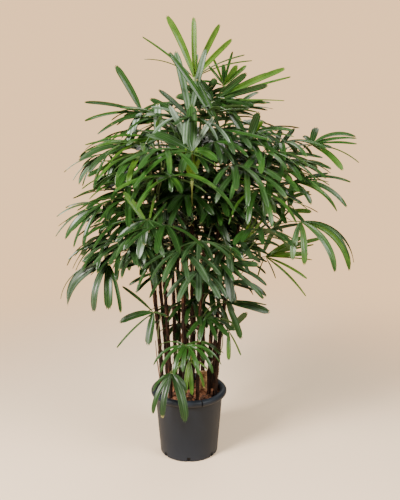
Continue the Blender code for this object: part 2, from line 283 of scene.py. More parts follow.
def leafMaterial(name, under):
    look = leafLook
    material, tree, shader = newMaterial(name)
    parts = toneParts(tree).outputs
    veins = addNode(tree, "ShaderNodeGroup", {"Ribs": look["ribs"]}, node_tree=ribs).outputs
    along = bladePlace(tree)[1].outputs
    scale, strength = look["blotches"]
    spots = mottled(tree, objectPlace(tree), scale)
    ageAndShade = varied(tree, parts["Red"], spots, strength)
    # the ramp runs from the darkest tone, for old leaves and for the painted shade deep in the crown, to
    # young yellow-green
    colour = rampNode(tree, ageAndShade, ((0.0, look["shade"]), (0.5, look["mid"]), (1.0, look["young"])))
    if under:
        colour = mixColour(tree, look["underShare"], colour, look["under"])
    colour = mixColour(tree, times(tree, veins["Vein Mask"], look["veinShare"]), colour, look["mid"])
    colour = mixColour(tree, times(tree, veins["Rib Mask"], look["ribShare"]), colour, look["rib"])
    strength, least = look["sheenStripes"]
    # painted highlight: stripes across the blade put the pale colour on the pleats as gloss streaks
    sheenStripes = mathNode(tree, "PINGPONG", times(tree, along["X"], look["ribs"]), 1.0)
    sheenStripes = plus(tree, times(tree, sheenStripes, strength), least)
    bloomAndSheen = times(tree, mathNode(tree, "POWER", parts["Blue"], look["bloomAndSheenPower"]), spots)
    bloomAndSheen = times(tree, bloomAndSheen, sheenStripes, True)
    colour = mixColour(tree, bloomAndSheen, colour, look["bloomAndSheen"])
    dry = look["dryTip"]
    reach = plus(tree, along["Y"], times(tree, spots, dry["ragged"]))
    edge = minus(tree, dry["start"], times(tree, minus(tree, parts["Green"], dry["chance"]), dry["depth"]))
    tip = times(tree, minus(tree, reach, edge), dry["edge"], True)
    colour = mixColour(tree, tip, colour, look["tip"])
    rough = rangeNode(tree, spots, *look["underRoughness" if under else "upperRoughness"])
    rough = minus(tree, rough, times(tree, bloomAndSheen, look["waxy"]))
    setInputs(tree, shader, {
        "Base Color": colour, "Roughness": rough, "Specular IOR Level": look["specular"]})
    return material


stalkLook = {
    "streaks": 60.0,
    "stretch": (1.0, 1.0, 0.15),
    "strength": 0.8,
    "stops": ((0.0, (0.028, 0.040, 0.012)), (0.5, (0.070, 0.110, 0.026)), (1.0, (0.190, 0.220, 0.050))),
    "roughness": 0.45,
}


def stalkMaterial():
    look = stalkLook
    material, tree, shader = newMaterial("petiole")
    streaks = noiseNode(tree, objectPlace(tree), look["streaks"], stretch=look["stretch"])
    # the stalk follows its frond's youth, so it carries the same painted shade
    ageAndShade = varied(tree, toneParts(tree).outputs["Red"], streaks, look["strength"])
    setInputs(tree, shader, {
        "Base Color": rampNode(tree, ageAndShade, look["stops"]), "Roughness": look["roughness"]})
    return material


# grain: scale, detail and roughness; shares: of the grain and of the patches; bump: strength and distance
fibreLook = {
    "grain": (220.0, 4.0, 0.7),
    "stretch": (1.0, 1.0, 0.10),
    "patches": 22.0,
    "shares": (0.6, 0.4),
    "stops": ((0.44, (0.008, 0.005, 0.004)), (0.58, (0.044, 0.018, 0.010)), (0.74, (0.190, 0.092, 0.046))),
    "roughness": 0.82,
    "specular": 0.14,
    "bump": (0.7, 0.0012),
}

coirLook = {
    "grain": (160.0, 4.0, 0.65),
    "stretch": None,
    "patches": 45.0,
    "shares": (0.4, 0.6),
    "stops": ((0.36, (0.030, 0.012, 0.007)), (0.50, (0.170, 0.062, 0.026)), (0.66, (0.360, 0.160, 0.075))),
    "roughness": 0.92,
    "specular": 0.5,
    "bump": (0.8, 0.0015),
}


def drySkin(name, look, light, tint=(1.0, 1.0, 1.0)):
    # fibre or coir, made lighter or darker as a whole
    material, tree, shader = newMaterial(name)
    place = objectPlace(tree)
    grain = noiseNode(tree, place, *look["grain"], stretch=look["stretch"])
    patches = mottled(tree, place, look["patches"])
    grainShare, patchShare = look["shares"]
    amount = sharesOf(tree, grain, grainShare, patches, patchShare)
    stops = []
    for spot, shade in look["stops"]:
        stops.append((spot, tuple(value * light * share for value, share in zip(shade, tint))))
    setInputs(tree, shader, {
        "Base Color": rampNode(tree, amount, stops), "Roughness": look["roughness"],
        "Specular IOR Level": look["specular"], "Normal": bumpNode(tree, grain, *look["bump"])})
    return material


potLook = {
    "clean": (0.006, 0.009, 0.014),
    "dusty": (0.028, 0.034, 0.048),
    "dust": (9.0, 0.30),  # scale and share
    "low": (12.0, 0.18),  # how fast the dust at the foot ends going up, and its share
    "roughness": (0.40, 0.58),
    "specular": 0.18,
    "grain": (900.0, 2.0),
    "bump": (0.12, 0.0004),
}


def potMaterial():
    look = potLook
    material, tree, shader = newMaterial("potPlastic")
    place = objectPlace(tree)
    scale, dustShare = look["dust"]
    ends, lowShare = look["low"]
    dust = mottled(tree, place, scale)
    height = addNode(tree, "ShaderNodeSeparateXYZ", {"Vector": place}).outputs["Z"]
    low = minus(tree, 1.0, times(tree, height, ends), True)
    amount = sharesOf(tree, dust, dustShare, low, lowShare, True)
    grain = noiseNode(tree, place, *look["grain"])
    setInputs(tree, shader, {
        "Base Color": mixColour(tree, amount, look["clean"], look["dusty"]),
        "Roughness": rangeNode(tree, dust, *look["roughness"]),
        "Specular IOR Level": look["specular"], "Normal": bumpNode(tree, grain, *look["bump"])})
    return material


leafUpper = leafMaterial("leafUpper", False)
leafUnder = leafMaterial("leafUnder", True)
petioleSkin = stalkMaterial()
caneFibre = drySkin("caneFibre", fibreLook, 0.60)
looseFibre = drySkin("looseFibre", fibreLook, 1.8)
strawSkin = drySkin("straw", fibreLook, 4.5)
coirGround = drySkin("coirGround", coirLook, 0.36)
rootSoil = drySkin("rootSoil", coirLook, 0.015)
coirChip = drySkin("coirChip", coirLook, 1.15)
barkSkin = drySkin("barkSkin", coirLook, 2.2, (1.0, 1.40, 1.45))
potPlastic = potMaterial()
print("materials ready")


# camera, floor and light
cameraPlace = {"location": (0.0455, -3.3, 1.75), "pitch": 74.9, "lens": 62.7}

# light that the room gives back, and the plain wall colour that the floor fades into
roomLook = {"light": (0.28, 0.26, 0.21), "wall": (1.70, 1.05, 0.55), "fade": (0.8, 2.6)}

floorLook = {"size": 9.0, "colour": (0.86, 0.66, 0.47, 1.0), "roughness": 0.85}


def buildStage():
    camera = newObject("camera", bpy.data.cameras.new("camera"))
    camera.location = cameraPlace["location"]
    camera.rotation_euler = (radians(cameraPlace["pitch"]), 0.0, 0.0)
    camera.data.lens = cameraPlace["lens"]
    bpy.context.scene.camera = camera
    bm = bmesh.new()
    bmesh.ops.create_grid(bm, x_segments=1, y_segments=1, size=floorLook["size"])
    floor = newObject("floor", meshFrom("floor", bm))
    material, tree, shader = newMaterial("paleFloor")
    setInputs(tree, shader, {"Base Color": floorLook["colour"], "Roughness": floorLook["roughness"]})
    away = addNode(tree, "ShaderNodeVectorMath", {0: objectPlace(tree)}, operation="LENGTH").outputs["Value"]
    near, gone = roomLook["fade"]
    inputs = {"Value": away, "From Min": near, "From Max": gone}
    far = addNode(tree, "ShaderNodeMapRange", inputs, interpolation_type="SMOOTHSTEP").outputs["Result"]
    seen = addNode(tree, "ShaderNodeLightPath").outputs["Is Camera Ray"]
    glow = addNode(tree, "ShaderNodeEmission", {"Color": (*roomLook["wall"], 1.0)})
    inputs = {0: times(tree, far, seen), 1: shader.outputs["BSDF"], 2: glow.outputs["Emission"]}
    mixed = addNode(tree, "ShaderNodeMixShader", inputs)
    tree.links.new(mixed.outputs["Shader"], tree.nodes["Material Output"].inputs["Surface"])
    floor.data.materials.append(material)


lamps = {
    "key": {"place": (-2.4, -2.6, 3.2), "size": 1.2, "power": 540.0, "colour": (1.0, 0.95, 0.88)},
    "fill": {"place": (2.4, -2.0, 3.0), "size": 1.6, "power": 170.0, "colour": (1.0, 0.98, 0.93)},
    "back": {"place": (0.8, 2.6, 3.2), "size": 2.0, "power": 60.0, "colour": (1.0, 0.97, 0.90)},
}

lampAim = (0.0, 0.0, 0.9)


def buildLamps():
    for name, spec in lamps.items():
        light = bpy.data.lights.new(name, "AREA")
        light.size = spec["size"]
        light.energy = spec["power"]
        light.color = spec["colour"]
        lamp = newObject(name, light)
        lamp.location = spec["place"]
        lamp.rotation_euler = (Vector(lampAim) - lamp.location).to_track_quat("-Z", "Y").to_euler()
    world = bpy.data.worlds.new("room")
    world.use_nodes = True
    tree = world.node_tree
    seen = addNode(tree, "ShaderNodeLightPath").outputs["Is Camera Ray"]
    colour = mixColour(tree, seen, roomLook["light"], roomLook["wall"])
    tree.links.new(colour, tree.nodes["Background"].inputs["Color"])
    bpy.context.scene.world = world


buildStage()
buildLamps()
print("stage ready")


# pot
potShape = {
    "height": 0.280,
    "rimRadius": 0.1545,
    "bead": 0.014,
    "baseRadius": 0.117,
    "sheet": 0.0028,
    "floor": 0.0045,
    "neck": 0.0035,  # how far the wall stands back under the bead
    "innerCorner": (0.004, 0.010),
    "foot": (0.0065, 0.0075, 0.008),  # how far in it curves, the curve's radius, and its top
    "turns": 128,
    "slots": 7,
    "slotSize": (0.014, 0.013, 0.021),
    "notchAngle": -69.0,
    "notchSize": (0.050, 0.0050, 0.034),
    "notchAbove": 0.004,
    "cutRounding": 0.0009,
}


def potInner(height):
    spec = potShape
    low = spec["baseRadius"] - spec["sheet"]
    high = spec["rimRadius"] - spec["bead"] - spec["neck"] - spec["sheet"]
    return between(low, high, (height - spec["floor"]) / (spec["height"] - 2 * spec["bead"] - spec["floor"]))


def arcOf(centre, radius, start, end, count):
    angles = [radians(between(start, end, step / count)) for step in range(count + 1)]
    return [(centre[0] + radius * cos(angle), centre[1] + radius * sin(angle)) for angle in angles]


def potOutline():
    spec = potShape
    bead = (spec["rimRadius"] - spec["bead"], spec["height"] - spec["bead"])
    shoulder = bead[1] - spec["bead"]
    inset, up = spec["innerCorner"]
    inwards, curve, top = spec["foot"]
    outline = [(0.0, spec["floor"]), (potInner(spec["floor"]) - inset, spec["floor"]), (potInner(up), up)]
    outline.append((potInner(shoulder), shoulder))
    outline += arcOf(bead, spec["bead"], 230, -50, 22)
    outline += arcOf(bead, spec["bead"] - spec["sheet"], -50, 220, 16)
    outline.append((potInner(shoulder) + spec["sheet"], shoulder - 0.001))
    outline.append((spec["baseRadius"] + 0.001, top))
    outline += arcOf((spec["baseRadius"] - inwards, curve), curve, 0, -90, 6)
    outline.append((0.0, 0.0))
    return outline


def cutterBox(size, centre, angle):
    bm = bmesh.new()
    bmesh.ops.create_cube(bm, size=1.0)
    bmesh.ops.scale(bm, vec=size, verts=bm.verts)
    rounding = potShape["cutRounding"]
    bmesh.ops.bevel(bm, geom=bm.edges[:], offset=rounding, segments=2, profile=0.5,
                    affect="EDGES", material=-1)
    turn = Matrix.Rotation(radians(angle), 4, "Z")
    bmesh.ops.transform(bm, matrix=Matrix.Translation(centre) @ turn, verts=bm.verts)
    return newObject("cutter", meshFrom("cutter", bm))


def around(angle, radius, height):
    return Vector((radius * cos(radians(angle)), radius * sin(radians(angle)), height))


def buildPot():
    spec = potShape
    bm = bmesh.new()
    corners = [bm.verts.new((x, 0.0, z)) for x, z in potOutline()]
    edges = [bm.edges.new(pair) for pair in zip(corners, corners[1:])]
    bmesh.ops.spin(bm, geom=corners + edges, axis=(0, 0, 1), cent=(0, 0, 0), angle=2 * pi,
                   steps=spec["turns"], use_merge=True)
    bmesh.ops.remove_doubles(bm, verts=bm.verts, dist=0.00002)
    bmesh.ops.recalc_face_normals(bm, faces=bm.faces)
    smoothAngle = 35
    pot = keepPiece("pot_shell", bm, [potPlastic], ("pot",), smoothAngle)
    cutters = []
    deep, across, tall = spec["slotSize"]
    for index in range(spec["slots"]):
        angle = -90.0 + index * 360.0 / spec["slots"]
        cutters.append(cutterBox((deep, across, 2 * tall), around(angle, spec["baseRadius"], 0.0), angle))
    tall = spec["notchSize"][2]
    angle = spec["notchAngle"]
    middle = around(angle, spec["rimRadius"] - spec["bead"], spec["height"] + spec["notchAbove"] - tall / 2)
    cutters.append(cutterBox(spec["notchSize"], middle, angle))
    for cutter in cutters:
        step = pot.modifiers.new("cut", "BOOLEAN")
        step.object = cutter
        step.solver = "EXACT"
    applyModifiers(pot)
    pot.data.set_sharp_from_angle(angle=radians(smoothAngle))
    for cutter in cutters:
        bpy.data.objects.remove(cutter)


buildPot()
print("pot ready")


# canes
caneShape = {
    "footHeight": 0.182,
    "bend": 0.70,
    "taper": 0.72,
    "stations": 64,
    "sides": 14,
    "sheathStep": 0.052,
    "sheathFlare": 0.24,
    "sheathCurve": (1.5, 0.45),  # power, and the share taken off so that the mean stays
    "swell": 1.02,
    "tip": 0.5,
    "rough": 0.16,
    "roughScale": (120, 120, 40),
}

threadShape = {
    "count": 60,
    "lowest": 0.255,
    "belowTop": 0.10,
    "span": (0.03, 0.09),
    "turn": (0.5, 1.8),
    "off": (0.0002, 0.0016),
    "skin": 1.06,
    "widths": (0.0007, 0.0003),
    "thickness": 0.0004,
}

scaleShape = {
    "count": 12,
    "lowest": 0.30,
    "belowTop": 0.08,
    "span": (0.035, 0.085),
    "lean": (0.003, 0.012),
    "skin": 1.02,
    "widths": (0.0042, 0.0040, 0.0032, 0.0020, 0.0006),
    "thickness": 0.0005,
}

# millimetres: foot x, y on the root ball, top x, y, height of the top, radius
canes = {
    1: (-104, -10, -176, -30, 1020, 8.5),
    2: (-86, 46, -165, 120, 1100, 8),
    3: (-72, -50, -120, -110, 1160, 8.5),
    4: (-52, 4, -80, 10, 1260, 8),
    5: (-36, 82, -60, 190, 1140, 7.5),
    6: (-18, -72, -20, -140, 1020, 9),
    7: (-8, 36, -10, 60, 1420, 8),
    8: (12, -24, 18, -50, 1240, 8.5),
    9: (16, 94, 50, 200, 1200, 7.5),
    10: (56, 80, 80, 100, 1340, 8),
    11: (34, -84, 60, -160, 920, 7.5),
    12: (80, -12, 140, -30, 1220, 8.5),
    13: (94, 42, 190, 90, 1160, 8),
    14: (102, -40, 196, -60, 980, 9),
}


def topOf(cane):
    return canes[cane][4] / 1000


def riseOf(cane, height):
    foot = caneShape["footHeight"]
    return (height - foot) / (topOf(cane) - foot)


def canePoint(cane, height):
    footX, footY, topX, topY = [value / 1000 for value in canes[cane][:4]]
    rise = riseOf(cane, height)
    bend = between(rise, rise * rise, caneShape["bend"])
    return Vector((between(footX, topX, bend), between(footY, topY, bend), height))


def caneRadius(cane, height):
    return canes[cane][5] / 1000 * between(1.0, caneShape["taper"], riseOf(cane, height))


def pathRings(path, across, wides, thicks):
    rings = []
    for index, place in enumerate(path):
        direction = (path[min(index + 1, len(path) - 1)] - path[max(index - 1, 0)]).normalized()
        across = (across - direction * across.dot(direction)).normalized()
        rings.append((place, across, direction.cross(across), wides[index], thicks[index]))
    return rings


def growAlong(bm, rings, sides):
    # a closed tube of oval rings: place, across, deep, half width, half depth
    first = bmesh.ops.create_circle(bm, cap_ends=True, radius=1.0, segments=sides)["verts"]
    face = first[0].link_faces[0]
    skin = list(first)
    old = (Vector(), Vector((1, 0, 0)), Vector((0, 1, 0)), 1.0, 1.0)
    for index, new in enumerate(rings):
        if index:
            face = bmesh.ops.extrude_discrete_faces(bm, faces=[face])["faces"][0]
            skin.extend(face.verts)
        for vert in face.verts:
            offset = vert.co - old[0]
            across, deep = offset.dot(old[1]) / old[3], offset.dot(old[2]) / old[4]
            vert.co = new[0] + new[1] * across * new[3] + new[2] * deep * new[4]
        old = new
    bm.faces.new(first)
    return skin


def caneSkin(cane, seed):
    rand = Random(seed)
    spec = caneShape
    last = spec["stations"] - 1
    heights = [between(spec["footHeight"], topOf(cane), step / last) for step in range(spec["stations"])]
    path = [canePoint(cane, height) for height in heights]
    shift = rand.uniform(0.0, spec["sheathStep"])
    power, less = spec["sheathCurve"]
    radii = []
    for height in heights:
        phase = ((height + shift) % spec["sheathStep"]) / spec["sheathStep"]
        flare = 1.0 + spec["sheathFlare"] * (phase ** power - less)
        radii.append(caneRadius(cane, height) * spec["swell"] * flare)
    radii[-1] *= spec["tip"]

    bm = bmesh.new()
    growAlong(bm, pathRings(path, Vector((1, 0, 0)), radii, radii), spec["sides"])
    x, y, z = spec["roughScale"]
    for vert in bm.verts:
        spot = Vector((vert.co.x * x, vert.co.y * y, vert.co.z * z + seed))
        vert.co += (vert.co - canePoint(cane, vert.co.z)) * spec["rough"] * noise.noise(spot)
    body = len(bm.faces)
    for number in range(threadShape["count"]):
        addThread(bm, cane, rand)
    for number in range(scaleShape["count"]):
        addScale(bm, cane, rand)
    bm.faces.ensure_lookup_table()
    for face in bm.faces[body:]:
        face.material_index = 1
    bmesh.ops.recalc_face_normals(bm, faces=bm.faces)
    name = "cane_%02d" % cane
    return keepPiece(name + "_sheathed", bm, [caneFibre, looseFibre], (name,), 50)


def addThread(bm, cane, rand):
    # one loose fibre wound part of the way round the cane
    spec = threadShape
    low = rand.uniform(spec["lowest"], topOf(cane) - spec["belowTop"])
    span = rand.uniform(*spec["span"])
    angle = rand.uniform(0.0, 2 * pi)
    turn = rand.choice((-1, 1)) * rand.uniform(*spec["turn"])
    off = rand.uniform(*spec["off"])
    path = []
    for step in range(5):
        share = step / 4
        height = low + span * share
        size = caneRadius(cane, height) * spec["skin"] + off * (1.0 + 2.0 * share * share)
        path.append(canePoint(cane, height) + outwards(angle + turn * share) * size)
    wides = [between(*spec["widths"], step / 4) for step in range(5)]
    growAlong(bm, pathRings(path, sideways(angle), wides, [spec["thickness"]] * 5), 3)


def addScale(bm, cane, rand):
    # the split end of an old leaf sheath, peeling away upwards
    spec = scaleShape
    low = rand.uniform(spec["lowest"], topOf(cane) - spec["belowTop"])
    span = rand.uniform(*spec["span"])
    angle = rand.uniform(0.0, 2 * pi)
    lean = rand.uniform(*spec["lean"])
    path = []
    for step in range(5):
        share = step / 4
        height = low + span * share
        size = caneRadius(cane, height) * spec["skin"] + lean * share * share
        path.append(canePoint(cane, height) + outwards(angle) * size)
    growAlong(bm, pathRings(path, sideways(angle), spec["widths"], [spec["thickness"]] * 5), 4)


for number, cane in enumerate(canes):
    caneSkin(cane, 11 + number)
print("canes ready")


# fronds
bladeShape = {
    "along": 12,
    "across": 6,
    "thickness": 0.0005,
    "start": 0.004,
    "widths": ((0.0, 0.18), (0.08, 0.46), (0.25, 0.84), (0.45, 0.98),
               (0.64, 1.0), (0.84, 0.93), (0.93, 0.80), (1.0, 0.56)),
    "keel": ((0.0, 0.75), (0.3, 0.42), (1.0, 0.16)),
    "pleat": 0.0008,
    "teeth": 0.006,
    "teethWidth": 0.03,  # the blade's width at which the teeth have their full length
    "steepest": 86.0,
    "sway": 7,
    "ripple": 5,
    "toneSpread": 0.12,
}

# how the blades of a fan vary
fanShape = {
    "jitter": 5,
    "outerShorter": 0.10,
    "lengths": (0.88, 1.05),
    "extraLength": 0.007,
    "widest": 0.024,
    "fill": 0.36,
    "widths": (0.72, 1.1),
    "droops": (0.75, 1.25),
    "twist": 38,
    "singleTwist": 8,
}

petioleShape = {
    "hubRadius": 0.011,
    "gap": 0.0004,
    "width": 0.0046,
    "stations": 16,
    "sides": 8,
    "ease": (0.3, 0.35),
    "lean": 0.45,
    "start": 0.8,
    "flat": 0.8,
    "swell": 1.15,
    "tuck": (0.022, 0.001),  # how far the foot runs down and into the cane
    "hubWidths": (0.0060, 0.0052, 0.0030),
    "hubThicknesses": (0.0012, 0.0018),
    "footWidths": (0.0030, 0.0038, 0.0018),
}


def turnedFrame(heading, rise, roll):
    heading, rise, roll = radians(heading), radians(rise), radians(roll)
    forward = aimed(heading, rise)
    level = sideways(heading)
    return forward, level * cos(roll) + forward.cross(level) * sin(roll)


def bladePath(start, direction, length, droop, sway):
    count = bladeShape["along"]
    bearing, first = atan2(direction.y, direction.x), asin(direction.z)
    lowest = -radians(bladeShape["steepest"])
    stations, place = [], start.copy()
    for step in range(2 * count + 1):
        share = step / (2 * count)
        tangent = aimed(bearing + sway * share, max(first - droop * share, lowest))
        if step % 2:
            place = place + tangent * length / count
        else:
            stations.append((place, tangent))
    return stations


def addBlade(bm, tone, hub, direction, across, length, widest, droop, look, rand, play):
    spec = bladeShape
    sway = radians(rand.uniform(-spec["sway"], spec["sway"]))
    stations = bladePath(hub + direction * spec["start"], direction, length, radians(droop), sway)
    twist = radians(rand.uniform(-play, play))
    wave = rand.uniform(0.0, 2 * pi)
    youthAndShade, bloomAndSheen = look
    youthAndShade = limited(youthAndShade + rand.uniform(-spec["toneSpread"], spec["toneSpread"]))
    colour = (youthAndShade, rand.random(), bloomAndSheen, 1.0)
    columns, rows = spec["across"], spec["along"]
    grid = bmesh.ops.create_grid(bm, x_segments=columns, y_segments=rows, size=1.0, calc_uvs=True)
    for vert in grid["verts"]:
        side, along = -vert.co.x, (vert.co.y + 1.0) / 2
        raised = round((vert.co.x + 1.0) / 2 * columns) % 2
        place, tangent = stations[round(along * rows)]
        wide = (across - tangent * across.dot(tangent)).normalized()
        ripple = radians(spec["ripple"]) * sin(wave + 5 * along)
        wide = Matrix.Rotation(twist * along + ripple, 3, tangent) @ wide
        upper = tangent.cross(wide)
        half = widest / 2 * fromKnots(spec["widths"], along)
        lift = half * fromKnots(spec["keel"], along) * (abs(side) - 0.5)
        lift += spec["pleat"] * (1 if raised else -1) * min(1.0, 6 * along)
        vert.co = place + wide * half * side + upper * lift
        if along > 0.999:
            tooth = (1 if raised else -0.4) - 0.8 * abs(side)
            vert.co += tangent * spec["teeth"] * tooth * widest / spec["teethWidth"]
        vert[tone] = colour


def addBlades(bm, tone, row, rand):
    cane, footHeight, hub, aim, look, fan, singles = row
    spec = fanShape
    for heading, rise, length, droop, width, turn, ownLook in singles:
        direction, across = turnedFrame(heading, rise, turn)
        addBlade(bm, tone, hub, direction, across, length, width, droop, ownLook, rand, spec["singleTwist"])
    if not fan:
        return
    spread, blades, length, droop = fan
    forward, side = turnedFrame(*aim)
    step = radians(spread) / (blades - 1)
    for index in range(blades):
        angle = -radians(spread) / 2 + index * step + radians(rand.uniform(-spec["jitter"], spec["jitter"]))
        direction = forward * cos(angle) + side * sin(angle)
        across = side * cos(angle) - forward * sin(angle)
        outer = abs(2 * index / (blades - 1) - 1.0)
        share = (1.0 - spec["outerShorter"] * outer) * rand.uniform(*spec["lengths"])
        reach = length * share + spec["extraLength"]
        width = min(spec["widest"], spec["fill"] * length * step) * rand.uniform(*spec["widths"])
        bend = droop * rand.uniform(*spec["droops"])
        addBlade(bm, tone, hub, direction, across, reach, width, bend, look, rand, spec["twist"])


def petiolePath(row):
    cane, footHeight, hub, aim = row[:4]
    spec = petioleShape
    forward, side = turnedFrame(*aim)
    axis = canePoint(cane, footHeight)
    along = (canePoint(cane, footHeight + 0.001) - canePoint(cane, footHeight - 0.001)).normalized()
    reach = hub - axis
    outward = (reach - along * reach.dot(along)).normalized()
    foot = axis + outward * (caneRadius(cane, footHeight) + spec["gap"] + spec["width"] / 2)
    span = (hub - foot).length
    lift = (along + outward * spec["lean"]).normalized()
    back = hub - forward * spec["hubRadius"] * spec["start"]
    hubEase, footEase = spec["ease"]
    knots = (back, back - forward * span * hubEase, foot + lift * span * footEase, foot)
    path = [hub + forward * bladeShape["start"]]
    for step in range(spec["stations"] + 1):
        t = step / spec["stations"]
        shares = ((1 - t) ** 3, 3 * t * (1 - t) ** 2, 3 * t * t * (1 - t), t ** 3)
        path.append(sum((knot * share for knot, share in zip(knots, shares)), Vector()))
    down, inwards = spec["tuck"]
    path.append(foot - along * down - outward * inwards)
    return path, side


def addPetiole(bm, tone, row):
    spec = petioleShape
    path, side = petiolePath(row)
    half = spec["width"] / 2
    last = len(path) - 1
    wides = [between(1.0, spec["swell"], index / last) * half for index in range(last + 1)]
    thicks = [half * spec["flat"]] * (last + 1)
    wides[:3] = spec["hubWidths"]
    thicks[:2] = spec["hubThicknesses"]
    wides[-3:] = spec["footWidths"]
    youthAndShade = row[4][0]
    for vert in growAlong(bm, pathRings(path, side, wides, thicks), spec["sides"]):
        vert[tone] = (youthAndShade, 0.0, 0.0, 1.0)


def buildFoliage(name, rows, stands, seed):
    rand = Random(seed)
    skins = [leafUpper, leafUnder, petioleSkin]
    bm = bmesh.new()
    bm.loops.layers.uv.new("bladeMap")
    tone = bm.verts.layers.float_color.new("tone")
    for row in rows:
        addBlades(bm, tone, row, rand)
    flat = newObject("blades", meshFrom("blades", bm))
    shell = flat.modifiers.new("shell", "SOLIDIFY")
    shell.thickness = bladeShape["thickness"]
    shell.offset = -1.0
    shell.material_offset = 1
    for material in skins:
        flat.data.materials.append(material)
    applyModifiers(flat)
    bm = bmesh.new()
    tone = bm.verts.layers.float_color.new("tone")
    for row in rows:
        addPetiole(bm, tone, row)
    for face in bm.faces:
        face.material_index = 2
    bmesh.ops.recalc_face_normals(bm, faces=bm.faces)
    bm.from_mesh(flat.data)
    bpy.data.objects.remove(flat)
    return keepPiece(name, bm, skins, stands, 55)


def tableRow(cane, foot, hub, heading, rise, roll, youthAndShade, bloomAndSheen, *shape):
    # a row of the tables below, in metres and whole tones
    look = (youthAndShade / 100, bloomAndSheen / 100)
    hub = Vector([value / 1000 for value in hub])
    fan, singles = None, []
    if isinstance(shape[0], tuple):
        for towards, tilt, length, droop, width, turn, *own in shape:
            own = [value / 100 for value in own] or look
            singles.append((towards, tilt, length / 1000, droop, width / 1000, turn, own))
    else:
        spread, blades, length, droop = shape
        fan = (spread, blades, length / 1000, droop)
    return cane, foot / 1000, hub, (heading, rise, roll), look, fan, singles
